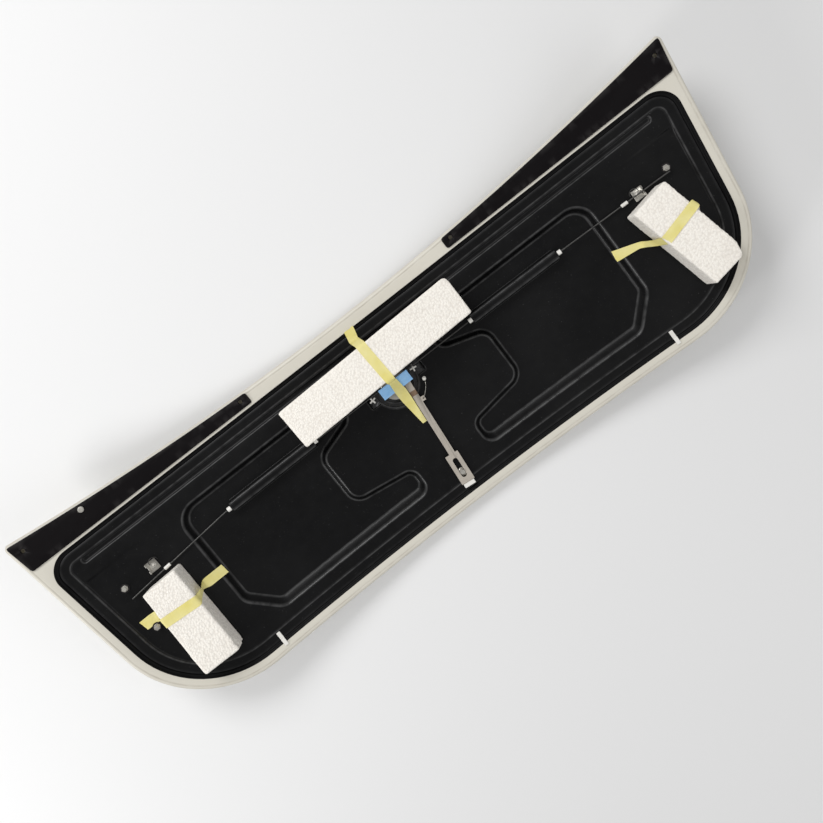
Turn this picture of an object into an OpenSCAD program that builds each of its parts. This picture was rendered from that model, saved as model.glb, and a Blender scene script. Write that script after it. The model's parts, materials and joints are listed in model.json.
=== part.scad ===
/* [Lid panel] */
// Length of the lid across its two top corners
lid_len = 1534; // [1400:1:1700]
// Height of the lid from its bottom edge to its top corners
lid_h = 508; // [490:1:540]
// How far the middle of the top edge dips below the top corners
arch_dip = 46; // [30:1:56]
// How much each side leans in towards the bottom edge
side_lean = 56; // [30:1:80]
// Radius of the two large bottom corners
bottom_corner_r = 215; // [160:1:230]
// Radius of the two small top corners
top_corner_r = 12; // [4:1:20]
// Radius of the bow of the outer face
bow_r = 2554; // [2200:1:3600]
// Wall of the outer skin
skin_t = 3; // [2:0.5:4]
// Height of the edge flange above the outer face
flange_h = 26; // [24:0.5:30]
// Width of the edge flange along the sides and the bottom
flange_w = 24; // [18:1:30]
// Distance from the top corners down to the opening for the inner moulding
window_drop = 77; // [74:0.5:84]
// Radius of the two top corners of the opening for the inner moulding
window_corner_r = 42; // [20:1:60]
// Thickness of the two hinge plates on the top corners
plate_t = 3; // [2:0.5:5]
// Distance from the middle of the lid to the inner end of each hinge plate
plate_inner_x = 244; // [220:1:280]
// Radius of the fixing holes in the hinge plates
plate_hole_r = 4; // [2.5:0.5:5]
// Gap between the opening for the inner moulding and each hinge plate
plate_gap = 7; // [4:0.5:12]

/* [Inner moulding] */
// Height of the inner moulding above the outer face
panel_h = 22; // [20:0.5:24]
// Width of the black sealing bead around the inner moulding
seal_w = 6; // [4:0.5:9]
// Depth of the large recess
recess_depth = 15; // [10:0.5:15]
// Slope of the recess walls, measured in plan
recess_draft = 9; // [4:0.5:12]
// Slope of the lower recess wall, measured in plan
bottom_draft = 15; // [6:0.5:18]
// Distance from each end of the lid to the recess
recess_side = 266; // [250:1:290]
// Half of the width of the raised column between the recess lobes
column_half_w = 112; // [104:1:120]
// Half of the width of the raised island below the lock
island_half_w = 206; // [190:1:220]
// Half of the gap between the two feet of the recess
foot_gap_half = 75; // [65:1:90]
// Depth of the long groove below the top edge
groove_depth = 4; // [2:0.5:8]
// Width of the long groove below the top edge
groove_w = 13; // [8:0.5:16]
// Distance from each end of the lid to the end of the long groove
groove_side = 89; // [82:1:160]
// Length of each flat end pocket, measured from the end of the lid
pocket_len = 207; // [190:1:225]
// How much lower than the bow the flat end pocket is at its outer end
pocket_drop = 9; // [4:0.5:12]

/* [Lock] */
// Distance from the top corners down to the lock centre
hub_drop = 217; // [212:1:222]
// Radius of the round lock dish
dish_r = 50; // [46:0.5:54]
// Depth of the round lock dish
dish_depth = 7; // [5:0.5:8]
// Radius of the lock spindle
spindle_r = 5; // [4:0.5:6]
// Running clearance of shafts in their holes
fit_gap = 0.05; // [0.02:0.01:0.1]
// Radius of the cam disc
cam_r = 31; // [29:0.5:33]
// Distance of the bolt pin from the lock centre
bolt_pin_r = 24; // [22:0.5:26]
// Distance of the two rod pins from the lock centre
rod_pin_d = 13; // [11:0.5:15]
// Radius of the pins on the cam
pin_r = 3; // [2:0.25:3.5]
// Radius of the handle cup in the outer face
cup_r = 45; // [42:0.5:48]
// Depth of the handle cup
cup_depth = 8; // [7:0.5:8]
// Wall of the handle cup
cup_t = 2.5; // [2:0.5:3]
// Length of the turn handle
handle_len = 74; // [66:1:76]
// Width of the turn handle
handle_w = 20; // [14:1:28]

/* [Bolt] */
// Thickness of the steel bolt arm
arm_t = 3; // [2:0.5:4]
// Width of the narrow part of the bolt arm
arm_w = 13; // [10:0.5:16]
// Lean of the bolt arm from upright, in degrees
arm_lean = 5.5; // [3:0.5:7]
// Width of the slotted plate at the lower end of the bolt arm
tongue_w = 29; // [24:0.5:34]
// Length of the slotted plate
tongue_len = 66; // [62:0.5:70]
// Width of the slot in the bolt arm
slot_w = 11; // [9:0.5:13]
// Length of the slot in the bolt arm
slot_len = 44; // [42:0.5:46]
// Distance from the bottom edge up to the guide screw
guide_rise = 68; // [62:0.5:72]
// Radius of the guide screw
guide_r = 5; // [4:0.25:5.25]

/* [Pull rods] */
// Radius of the pull rods
rod_r = 1.5; // [1:0.25:2]
// Level of the pull rods above the lock centre
rod_rise = 9; // [8:0.5:10]
// Height of the pull rods above the outer face
rod_h = 27; // [26:0.5:28]
// Distance from each end of the lid to the end of each pull rod
rod_side = 115; // [107:1:127]
// Distance from the middle to the inner end of each rod cover
cover_start = 200; // [196:1:206]
// Distance from the middle to the outer end of each rod cover
cover_end = 404; // [380:1:420]
// Width of each rod cover
cover_w = 24; // [20:1:28]

/* [Packing] */
// Thickness of the polystyrene packing blocks
block_t = 50; // [40:1:60]
// Width of the masking tape
tape_w = 22; // [19:1:38]
// Thickness given to the masking tape
tape_t = 0.6; // [0.4:0.1:1]

/* [Hidden] */
$fn = 64;
half_len = lid_len / 2;
y_bottom = -lid_h / 2;
y_top = lid_h / 2;
hub_y = y_top - hub_drop;
hub_rise = hub_y - y_bottom;
rod_y = hub_y + rod_rise;
window_top = y_top - window_drop;
panel_top = window_top - seal_w;
tall = 400;
seat_gap = 0.3;
recess_half_w = half_len - recess_side;
groove_half_len = half_len - groove_side;
pocket_start = half_len - pocket_len;
guide_reach = hub_rise - guide_rise;
rod_reach = half_len - rod_side;

function unit(v) = v / norm(v);
function left_of(v) = [-v[1], v[0]];
// Meeting point of two edges moved inwards by their own distances
function moved_corner(a, b, c, d1, d2) =
  let (e1 = unit(b - a), e2 = unit(c - b))
  let (p1 = b + left_of(e1) * d1, p2 = b + left_of(e2) * d2)
  let (cross12 = e1[0] * e2[1] - e1[1] * e2[0])
  abs(cross12) < 0.0001 ? p1 :
  let (s = ((p2 - p1)[0] * e2[1] - (p2 - p1)[1] * e2[0]) / cross12)
  p1 + e1 * s;
// Outline with every edge moved inwards by its own distance
function inset(pts, dist) =
  let (n = len(pts))
  [for (i = [0:n - 1])
    moved_corner(pts[(i + n - 1) % n], pts[i], pts[(i + 1) % n], dist[(i + n - 1) % n], dist[i])];
// Points of the arc that rounds one corner
function corner_arc(a, b, c, r, steps) =
  let (u = unit(a - b), w = unit(c - b))
  let (half = acos(u * w) / 2)
  let (mid = b + unit(u + w) * r / sin(half))
  let (p = b + u * r / tan(half) - mid, q = b + w * r / tan(half) - mid)
  let (a0 = atan2(p[1], p[0]), turn = (atan2(q[1], q[0]) - a0 + 540) % 360 - 180)
  [for (i = [0:steps]) mid + r * [cos(a0 + turn * i / steps), sin(a0 + turn * i / steps)]];
// Outline with every corner rounded by its own radius
function rounded(pts, radii, steps) =
  let (n = len(pts))
  [for (i = [0:n - 1])
    for (q = radii[i] <= 0 ? [pts[i]] :
      corner_arc(pts[(i + n - 1) % n], pts[i], pts[(i + 1) % n], radii[i], steps)) q];
// Height above the lowest point of a surface that lies h inside the bow
function bow_z(x, h = 0) = bow_r - sqrt((bow_r - h) * (bow_r - h) - x * x);

arch_r = (half_len * half_len + arch_dip * arch_dip) / (2 * arch_dip);
arch_steps = 16;
function arch_y(x) = y_top - arch_dip + arch_r - sqrt(arch_r * arch_r - x * x);

// Lid outline with straight sides, bottom left first, turning left
frame_pts = [
  [-half_len + side_lean, y_bottom],
  [half_len - side_lean, y_bottom],
  [half_len, y_top],
  [-half_len, y_top]
];

// Slab between two heights above the bowed outer face
module bow(h0, h1) {
  translate([0, 0, bow_r]) rotate([90, 0, 0]) difference() {
    cylinder(r = bow_r - h0, h = 2 * lid_h, center = true, $fn = 360);
    cylinder(r = bow_r - h1, h = 3 * lid_h, center = true, $fn = 360);
  }
}

// Flat outline carried up and cut to a slab that follows the bow
module bowed(h0, h1) {
  intersection() {
    translate([0, 0, -1]) linear_extrude(tall) children();
    bow(h0, h1);
  }
}

// Puts a small piece upright on the bow at a place and a height
module on_bow(x, y, h) {
  translate([0, 0, bow_r]) rotate([0, -asin(x / (bow_r - h)), 0]) translate([0, y, h - bow_r]) children();
}

// Draws a piece for the right side, or turned over for the left side
module on_side(side) {
  if (side < 0) mirror([1, 0, 0]) children();
  else children();
}

module lid_outline() {
  difference() {
    polygon(rounded(frame_pts, [bottom_corner_r, bottom_corner_r, top_corner_r, top_corner_r], 16));
    polygon(concat(
      [for (i = [0:arch_steps]) let (x = half_len * (1 - 2 * i / arch_steps)) [x, arch_y(x)]],
      [[-half_len, y_top + 50], [half_len, y_top + 50]]));
  }
}

// Outline of the opening inside the flange, made smaller by a gap
function window_pts(gap) = rounded(
  inset(frame_pts, [flange_w + gap, flange_w + gap, window_drop + gap, flange_w + gap]),
  [bottom_corner_r - flange_w - gap, bottom_corner_r - flange_w - gap,
    max(window_corner_r - gap, 8), max(window_corner_r - gap, 8)], 14);

// Fixing holes of the hinge plates: outer one, inner one
plate_outer_x = half_len - 27;
plate_inner_hole_x = plate_inner_x + 18;
plate_hole_y = [arch_y(plate_outer_x) - 25, arch_y(plate_inner_hole_x) - 15];
plate_hole_x = [plate_outer_x, plate_inner_hole_x];
hole_depth = 18;

module plate_holes(side, r, h0, h1) {
  for (k = [0:1])
    on_bow(side * plate_hole_x[k], plate_hole_y[k], flange_h) translate([0, 0, h0 - flange_h])
      cylinder(r = r, h = h1 - h0);
}

module outer_skin() {
  color("#DEDACD") difference() {
    bowed(0, flange_h) lid_outline();
    bowed(skin_t, flange_h + 20) polygon(window_pts(0));
    on_bow(0, hub_y, -5) cylinder(r = cup_r + seat_gap, h = 20);
    for (side = [-1, 1]) plate_holes(side, plate_hole_r + 1, flange_h - hole_depth, flange_h + 20);
  }
}

module hinge_plate(side) {
  inner_y = window_top + plate_gap;
  lean = side_lean * (y_top - inner_y) / lid_h;
  steps = 8;
  color("#141012") difference() {
    on_side(side) bowed(flange_h + seat_gap, flange_h + seat_gap + plate_t) polygon(concat(
      [[plate_inner_x, inner_y], [half_len - lean - 10, inner_y]],
      [for (i = [0:steps]) let (x = half_len - 8 - (half_len - 8 - plate_inner_x) * i / steps)
        [x, arch_y(x) - 5]]));
    plate_holes(side, plate_hole_r, flange_h - 5, flange_h + 20);
  }
}

// Ring-shaped bar that follows the bow, with its section drawn as minus height and minus level
module bow_bar() {
  translate([0, 0, bow_r]) rotate([90, 0, 0]) rotate_extrude($fn = 360) translate([bow_r, 0]) children();
}

// Everything on one side of a wall that leans out as it rises from the recess floor
module beyond_wall(x, y, heading, draft) {
  lean = atan(draft / recess_depth);
  on_bow(x, y, panel_h) rotate([0, 0, heading]) rotate([0, -lean, 0])
    translate([0, -tall, -tall / 2]) cube([3 * tall, 2 * tall, tall]);
}

// Length of bar between two levels whose long walls slope
module trough(y0, y1, draft0, draft1) {
  floor_h = panel_h - recess_depth;
  past = 8;
  s0 = draft0 * past / recess_depth;
  s1 = draft1 * past / recess_depth;
  bow_bar() polygon([
    [-floor_h, -y0 - draft0], [-floor_h, -y1 + draft1],
    [-panel_h - past, -y1 - s1], [-panel_h - past, -y0 + s0]]);
}

recess_bottom = y_bottom + 76;
recess_top = panel_top - 68;
neck_low = hub_y - 22;
foot_top = recess_bottom + 62;
recess_chamfer = [56, 60];
foot_reach = island_half_w + 60;

// Lobe of the recess on the right side: a tall leg, a foot and a neck that point inwards
module recess_lobe() {
  low_half = tall / 2;
  intersection() {
    translate([island_half_w - 6, y_bottom, -1]) cube([recess_half_w, lid_h, low_half]);
    trough(recess_bottom, recess_top, bottom_draft, recess_draft);
    beyond_wall(recess_half_w, 0, 180, recess_draft);
    beyond_wall(island_half_w, 0, 0, recess_draft);
    beyond_wall(recess_half_w - recess_chamfer[0] / 2, recess_bottom + recess_chamfer[1] / 2,
      180 - atan(recess_chamfer[0] / recess_chamfer[1]), recess_draft);
  }
  intersection() {
    translate([0, y_bottom, -1]) cube([foot_reach, lid_h, low_half]);
    trough(recess_bottom, foot_top, bottom_draft, recess_draft);
    beyond_wall(foot_gap_half, 0, 0, recess_draft);
  }
  intersection() {
    translate([0, y_bottom, -1]) cube([foot_reach, lid_h, low_half]);
    trough(neck_low, recess_top, recess_draft, recess_draft);
    beyond_wall(column_half_w, 0, 0, recess_draft);
  }
}

// Flat floor of the end pocket, inside a raised rim
rim_w = 20;
pocket_top_drop = 65;
pocket_run = pocket_len - flange_w + 2;
pocket_z0 = bow_z(pocket_start, panel_h);
pocket_z1 = bow_z(pocket_start + pocket_run, panel_h) - pocket_drop;
pocket_slope = atan((pocket_z1 - pocket_z0) / pocket_run);

module end_pocket(side) {

  on_side(side) intersection() {
    linear_extrude(tall) intersection() {
      polygon(window_pts(seal_w + rim_w));
      translate([pocket_start, y_bottom]) square([300, panel_top - pocket_top_drop - y_bottom]);
    }
    translate([pocket_start, y_bottom, pocket_z0]) rotate([0, -pocket_slope, 0]) cube([300, lid_h, 100]);
  }
}

ear_reach = 68;
ear_w = 30;

module inner_moulding() {
  color("#232325") difference() {
    bowed(skin_t + seat_gap, panel_h) polygon(window_pts(seal_w));
    for (side = [-1, 1]) on_side(side) recess_lobe();
    bowed(panel_h - groove_depth, panel_h + 20)
      translate([-groove_half_len, panel_top - 35]) square([2 * groove_half_len, groove_w]);
    end_pocket(-1);
    end_pocket(1);
    on_bow(0, hub_y, panel_h - dish_depth) cylinder(r = dish_r, h = 20);
    translate([-ear_reach, hub_y - ear_w / 2, panel_h - dish_depth]) cube([2 * ear_reach, ear_w, 20]);
    on_bow(0, hub_y, -5) cylinder(r = cup_r + 1, h = 5 + cup_top + seat_gap);
    on_bow(0, hub_y, -5) cylinder(r = spindle_r + 1, h = 40);
  }
}

module edge_seal() {
  color("#0A0A0A") bowed(skin_t + seat_gap, panel_h + 1) difference() {
    polygon(window_pts(0));
    polygon(window_pts(seal_w));
  }
}

clip_x = recess_half_w - 12;
clip_w = 8;
clip_t = 2.5;

module drain_clip(side) {
  edge = y_bottom + flange_w;
  color("#ECEAE2") on_side(side) on_bow(clip_x, edge, panel_h) union() {
    translate([-clip_w / 2, seal_w + seat_gap, seat_gap]) cube([clip_w, 16, clip_t]);
    translate([-clip_w / 2, seal_w - clip_t + 1, 1 + seat_gap]) cube([clip_w, clip_t, flange_h - panel_h + clip_t - 1]);
    translate([-clip_w / 2, -8, flange_h - panel_h + seat_gap]) cube([clip_w, 12.5, clip_t]);
  }
}

cover_dome_h = 19;

module rod_cover(side) {
  floor_h = panel_h - recess_depth + seat_gap;
  half_w = cover_w / 2;
  color("#1C1C1E") on_side(side) difference() {
    intersection() {
      translate([0, 0, -1]) linear_extrude(tall) union() {
        translate([cover_start + half_w, rod_y]) circle(half_w);
        translate([cover_end - half_w, rod_y]) circle(half_w);
        translate([cover_start + half_w, rod_y - half_w]) square([cover_end - cover_start - cover_w, cover_w]);
      }
      bow_bar() translate([-cover_dome_h, -rod_y]) union() {
        circle(half_w);
        translate([0, -half_w]) square([cover_dome_h - floor_h, cover_w]);
      }
    }
    bow_bar() translate([-rod_h, -rod_y]) circle(rod_r + 1.2);
  }
}

bush_r = 5;
bush_len = 8;
// Gap that keeps the tilted end of a bush off the upright end of its cover
function bush_gap(x) = seat_gap + bush_r * x / bow_r;

module rod_bush(side, x) {
  color("#F4F1EA") on_side(side) on_bow(x, rod_y, rod_h) rotate([0, 90, 0]) difference() {
    cylinder(r = bush_r, h = bush_len, center = true);
    cylinder(r = rod_r + 0.9, h = bush_len + 2, center = true);
  }
}

function pocket_z(x) = pocket_z0 + (x - pocket_start) * tan(pocket_slope);

// Puts a piece upright on the floor of the right or left end pocket
module on_pocket(side, x, y) {
  on_side(side) translate([x, y, pocket_z(x)]) rotate([0, -pocket_slope, 0]) children();
}

bracket_x = half_len - 180;
bracket_len = 22;
bracket_w = 22;
bracket_t = 2;

module rod_bracket(side, y) {
  color("#B9B4AA") on_pocket(side, bracket_x, y) translate([0, 0, seat_gap]) union() {
    translate([-bracket_len / 2, -bracket_w / 2, 0]) cube([bracket_len, bracket_w, bracket_t]);
    difference() {
      translate([bracket_len / 2 - bracket_t, -bracket_w / 2, 0]) cube([bracket_t, bracket_w, 14]);
      translate([bracket_len / 2 - bracket_t - 1, -4.5, bracket_t]) cube([bracket_t + 2, 9, 20]);
    }
  }
}

stud_x = half_len - 115;
upper_stud_y = rod_y + 5;
lower_stud_y = rod_y - 92;
stud_r = 4;

module stud(side, y) {
  color("#C9C7C2") on_pocket(side, stud_x, y) translate([0, 0, seat_gap]) union() {
    cylinder(r = 9, h = 1.5);
    cylinder(r = 6.5, h = 6, $fn = 6);
    cylinder(r = stud_r, h = 14);
  }
}

cup_bottom = 0.4;
cup_top = cup_bottom + cup_depth + cup_t;
base_h = panel_h - dish_depth + seat_gap;
base_t = 2;
ring_h = panel_h + 1;
cam_h = base_h + base_t + 1.2;
cam_t = 3;
handle_h = 1.6;
handle_t = 4.6;

module lock_housing() {
  color("#2A2A2C") translate([0, hub_y, 0]) difference() {
    union() {
      translate([0, 0, base_h]) cylinder(r = dish_r - 0.5, h = base_t);
      translate([0, 0, base_h]) difference() {
        cylinder(r = dish_r - 0.5, h = ring_h - base_h);
        translate([0, 0, -1]) cylinder(r = dish_r - 4, h = 20);
      }
      translate([0, 0, base_h]) difference() {
        cylinder(r = cam_r + 9, h = ring_h - 2 - base_h);
        translate([0, 0, -1]) cylinder(r = cam_r + 6, h = 20);
      }
      for (side = [-1, 1]) on_side(side) {
        translate([dish_r - 3, -ear_w / 2 + 1, base_h]) cube([ear_reach - dish_r + 2, ear_w - 2, base_t]);
        translate([dish_r + 8, 0, base_h]) cylinder(r = 5, h = 5);
      }
    }
    translate([0, 0, base_h - 1]) cylinder(r = spindle_r + fit_gap, h = 10);
  }
}

module handle_cup() {
  color("#2E2E30") translate([0, hub_y, 0]) difference() {
    translate([0, 0, cup_bottom]) cylinder(r = cup_r, h = cup_top - cup_bottom);
    translate([0, 0, -1]) cylinder(r = cup_r - cup_t, h = 1 + cup_bottom + cup_depth);
    translate([0, 0, -1]) cylinder(r = spindle_r + fit_gap, h = 20);
  }
}

module turn_handle() {
  color("#3A3A3C") translate([0, hub_y, 0]) union() {
    intersection() {
      translate([0, 0, handle_h]) linear_extrude(handle_t) union() {
        square([handle_len - handle_w, handle_w], center = true);
        for (side = [-1, 1]) translate([side * (handle_len - handle_w) / 2, 0]) circle(handle_w / 2);
        circle(handle_w * 0.75);
      }
      translate([0, 0, handle_h + handle_t - 60]) sphere(r = 60 + 0.01, $fn = 96);
    }
    translate([0, 0, handle_h]) cylinder(r = spindle_r, h = cam_h - handle_h - 0.05);
  }
}

fork_h = 33;
tip_t = 1.5;
arm_h = flange_h + 0.7 + tip_t;
eye_t = 2;

module lock_cam() {
  color("#A8A49A") translate([0, hub_y, 0]) union() {
    translate([0, 0, cam_h]) cylinder(r = cam_r, h = cam_t);
    translate([0, 0, cam_h]) cylinder(r = 9, h = cam_t + 1);
    translate([bolt_pin_r, 0, cam_h]) cylinder(r = pin_r, h = fork_h + arm_t + 1 - cam_h);
    translate([0, -rod_pin_d, cam_h]) cylinder(r = pin_r, h = rod_h + 1.5 - cam_h);
    translate([0, rod_pin_d, cam_h]) cylinder(r = pin_r, h = rod_h + 5 - cam_h);
  }
}

// Open strip drawn beside a path, to its right
function ribbon(path, t) =
  let (n = len(path))
  let (side = [for (i = [0:n - 1])
    i == 0 ? path[0] - left_of(unit(path[1] - path[0])) * t :
    i == n - 1 ? path[n - 1] - left_of(unit(path[n - 1] - path[n - 2])) * t :
    moved_corner(path[i - 1], path[i], path[i + 1], -t, -t)])
  concat(path, [for (i = [n - 1:-1:0]) side[i]]);

// Upright section drawn as distance and height, carried sideways over a width
module carried(x0, w) {
  translate([x0, 0, 0]) rotate([90, 0, 90]) linear_extrude(w) children();
}

fork_x = 20;
joggle_start = -30;
joggle_end = -41;
tongue_end = -guide_reach - 24;
tongue_start = tongue_end + tongue_len;
slot_top = -guide_reach + 31.5;

module in_arm_frame() {
  translate([fork_x, hub_y, 0]) rotate([0, 0, -arm_lean]) children();
}

module bolt_arm() {
  window = [19, 10];
  color("#C3BCB2") in_arm_frame() union() {
    difference() {
      translate([-16.5, -10.5, fork_h]) cube([30, 20, arm_t]);
      translate([-10.5, -5, fork_h - 1]) cube([window[0], window[1], arm_t + 2]);
    }
    carried(2 - arm_w / 2, arm_w) polygon(ribbon([
      [tongue_start - 1, arm_h], [joggle_end, arm_h], [joggle_start, fork_h], [-10, fork_h]], -arm_t));
    difference() {
      translate([-tongue_w / 2, tongue_end, arm_h]) cube([tongue_w, tongue_len, arm_t]);
      translate([-slot_w / 2, slot_top - slot_len + slot_w / 2, arm_h - 1])
        cube([slot_w, slot_len - slot_w, arm_t + 2]);
      for (y = [slot_top - slot_w / 2, slot_top - slot_len + slot_w / 2])
        translate([0, y, arm_h - 1]) cylinder(r = slot_w / 2, h = arm_t + 2);
    }
    translate([-9, tongue_end - 6, arm_h]) cube([18, 7, arm_t]);
    translate([2 + arm_w / 2 - 1, -60, arm_h]) difference() {
      cube([9, 10, arm_t]);
      translate([5.5, 5, -1]) cylinder(r = 1.5, h = 10);
    }
  }
}

module bolt_tip() {
  color("#F6F3EC") in_arm_frame() difference() {
    translate([-12, tongue_end - 9.3, arm_h - tip_t]) cube([24, 9, arm_t + 2 * tip_t]);
    translate([-9.2, tongue_end - 6.2, arm_h - 0.2]) cube([18.4, 8, arm_t + 0.4]);
  }
}

module guide_screw() {
  color("#D8D6D0") in_arm_frame() translate([0, -guide_reach / cos(arm_lean), panel_h + seat_gap / 2]) union() {
    cylinder(r = guide_r, h = arm_h + arm_t + 2 - panel_h);
    cylinder(r = guide_r + 4, h = arm_h - seat_gap - panel_h - seat_gap / 2);
  }
}

module spring_stud() {
  color("#F2EFE6") on_bow(53, hub_y - 26, panel_h + seat_gap) union() {
    cylinder(r = 4, h = 9);
    translate([0, 0, 10]) sphere(r = 5);
  }
}

// Steel rod that follows the bow, swept along its route
rod_sides = 10;
rod_step = 25;

bend_x = cover_end + 14;

module turned_at_bend(bend) {
  translate([bend_x, rod_y, 0]) rotate([0, 0, -bend]) translate([-bend_x, -rod_y, 0]) children();
}

// Cranked eye plate at the inner end of a rod, with a slot across the rod for the cam pin
eye_slot_r = pin_r + 1.1;
eye_edge = 3.5;
eye_swing = rod_pin_d / 2;
rod_start = 12.5;

module eye_plate(pin_side) {
  pin_y = hub_y + pin_side * rod_pin_d;
  far_y = pin_y - pin_side * eye_swing;
  low = min(pin_y, far_y) - eye_slot_r - eye_edge;
  high = max(pin_y, far_y) + eye_slot_r + eye_edge;
  arm_low = min(low + 14, rod_y - 4);
  difference() {
    union() {
      translate([-eye_slot_r - eye_edge, low]) square([2 * (eye_slot_r + eye_edge), high - low]);
      translate([eye_slot_r, low]) square([6, min(high, rod_y + 3) - low]);
      translate([eye_slot_r + 5, arm_low]) square([12, rod_y + 3 - arm_low]);
    }
    translate([-eye_slot_r, min(pin_y, far_y) - eye_slot_r])
      square([2 * eye_slot_r, eye_swing + 2 * eye_slot_r]);
  }
}

// Distances from the middle at which the rod has a ring of points
function rod_stations(x0, x1) =
  let (n = ceil((x1 - x0) / rod_step))
  [for (i = [0:n]) x0 + (x1 - x0) * i / n];

function turned_point(p, bend) =
  let (dx = p[0] - bend_x, dy = p[1] - rod_y)
  [bend_x + dx * cos(bend) + dy * sin(bend), rod_y - dx * sin(bend) + dy * cos(bend), p[2]];

function rod_ring(x, bend) =
  let (a = asin(x / (bow_r - rod_h)))
  [for (k = [0:rod_sides - 1]) let (t = 360 * k / rod_sides)
    turned_point([x, rod_y, bow_z(x, rod_h)] + rod_r * [-sin(a) * cos(t), sin(t), cos(a) * cos(t)],
      x > bend_x ? bend : 0)];

module swept_rod(bend) {
  xs = concat(rod_stations(rod_start, bend_x), [bend_x + 3], rod_stations(bend_x + rod_step, rod_reach));
  n = rod_sides;
  last = len(xs) - 1;
  polyhedron(
    points = [for (x = xs) for (q = rod_ring(x, bend)) q],
    faces = concat(
      [[for (k = [n - 1:-1:0]) k]],
      [for (i = [0:last - 1]) for (k = [0:n - 1]) let (m = (k + 1) % n)
        [i * n + k, i * n + m, (i + 1) * n + k]],
      [for (i = [0:last - 1]) for (k = [0:n - 1]) let (m = (k + 1) % n)
        [i * n + m, (i + 1) * n + m, (i + 1) * n + k]],
      [[for (k = [0:n - 1]) last * n + k]]));
}

module pull_rod(side, pin_side, bend) {
  plate_h = rod_h + (pin_side < 0 ? 0.5 - rod_r - eye_t : rod_r - 0.5);
  color("#B5AFA3") on_side(side) union() {
    translate([0, 0, plate_h]) linear_extrude(eye_t) eye_plate(pin_side);
    swept_rod(bend);
  }
}

ferrule_r = 3.5;
ferrule_len = 14;
ferrule_left_x = half_len - 201;
ferrule_right_x = half_len - 212;
left_bend = 4.8;
right_bend = 0.9;

module rod_ferrule(side, x, bend) {
  color("#F4F1EA") on_side(side) turned_at_bend(bend) on_bow(x, rod_y, rod_h) rotate([0, 90, 0]) difference() {
    cylinder(r = ferrule_r, h = ferrule_len, center = true);
    cylinder(r = rod_r + 0.1, h = ferrule_len + 2, center = true);
  }
}

// Packing blocks that hold the loose pieces still in transport
centre_block_h = bow_z(cover_start + 4, cover_dome_h + cover_w / 2) + seat_gap;
left_block_x = half_len - 173;
right_block_x = half_len - 155;
right_block_lift = 3.8;
left_inner = 39;
left_outer = 40;
right_reach = 59;
block_low = y_bottom + 79;
centre_block_pts = [
  [-cover_start - 9, rod_y + 3], [cover_start + 3, rod_y + 14], [cover_start + 3, rod_y + 95],
  [cover_start - 4, rod_y + 100], [-cover_start - 11, rod_y + 89]];
left_block_pts = [
  [-left_inner, block_low], [left_outer, block_low + 3], [left_outer - 4, rod_y - 24], [-left_inner, rod_y - 22]];
right_block_pts = [
  [-11, block_low], [55, block_low + 15], [right_reach, block_low + 43], [19, rod_y - 9], [-right_reach, rod_y - 25]];

module packing_block_centre() {
  color("#F1ECE4") translate([0, 0, centre_block_h]) linear_extrude(block_t) polygon(centre_block_pts);
}

// Room under a block where it lies over the rim and the sealing bead
module rim_relief() {
  bowed(0, panel_h + 1 + seat_gap) difference() {
    translate([-half_len - 50, y_bottom - 50]) square([lid_len + 100, lid_h + 100]);
    polygon(window_pts(seal_w + rim_w + 0.5));
  }
}

module packing_block_left() {
  color("#F1ECE4") difference() {
    on_pocket(-1, left_block_x, 0) translate([0, 0, seat_gap]) linear_extrude(block_t) polygon(left_block_pts);
    rim_relief();
  }
}

module packing_block_right() {
  color("#F1ECE4") difference() {
    on_pocket(1, right_block_x, 0) translate([0, 0, right_block_lift]) linear_extrude(block_t)
      polygon(right_block_pts);
    on_pocket(1, stud_x, lower_stud_y) translate([0, 0, -1]) cylinder(r = 10.5, h = 17);
    rim_relief();
  }
}

pad_h = 40;
pad_t = 4;
pad_len = 70;
pad_w = 23;

module blue_pad() {
  color("#6FA3EE") translate([-pad_len / 2, hub_y - 12, pad_h]) cube([pad_len, pad_w, pad_t]);
}

module tape_centre() {
  top = centre_block_h + block_t + seat_gap;
  color("#E6DCA6") union() {
    carried(-13, tape_w) polygon(ribbon([[window_top + 1, flange_h + 0.6], [panel_top - 2, panel_h + 1.4],
      [panel_top - 12, panel_h + 1.2], [rod_y + 95.5, top], [rod_y + 7, top], [hub_y + 12, pad_h + pad_t + seat_gap],
      [hub_y - 12.5, pad_h + pad_t + seat_gap]], tape_t));
    carried(-13, 9) polygon(ribbon([[hub_y - 11, pad_h + pad_t + seat_gap],
      [hub_y - 13, pad_h + pad_t + seat_gap], [hub_y - 52, panel_h + 2.2], [hub_y - 95, panel_h + seat_gap]], tape_t));
  }
}

// Tape over a side block: past its outer edge by a tail, and down to the panel at its inner edge
module side_tape(outer, inner, lift, y, tail) {
  top = block_t + lift + seat_gap;
  translate([0, y + tape_w / 2, 0]) rotate([90, 0, 0]) linear_extrude(tape_w)
    polygon(ribbon([[-inner - 60, 3.4], [-inner - 22, 1.6], [-inner - 1, top], [outer + 1, top],
      [outer + 4, 2.4], [outer + tail, 1.4]], -tape_t));
}

module tape_left() {
  color("#E6DCA6") on_pocket(-1, left_block_x, 0) side_tape(left_outer - 1.4, left_inner - 0.8, seat_gap, lower_stud_y + 4, 10);
}

module tape_right() {
  color("#E6DCA6") on_pocket(1, right_block_x, 0) side_tape(right_reach - 14, right_reach - 14, right_block_lift, lower_stud_y + 4, 7);
}

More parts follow.
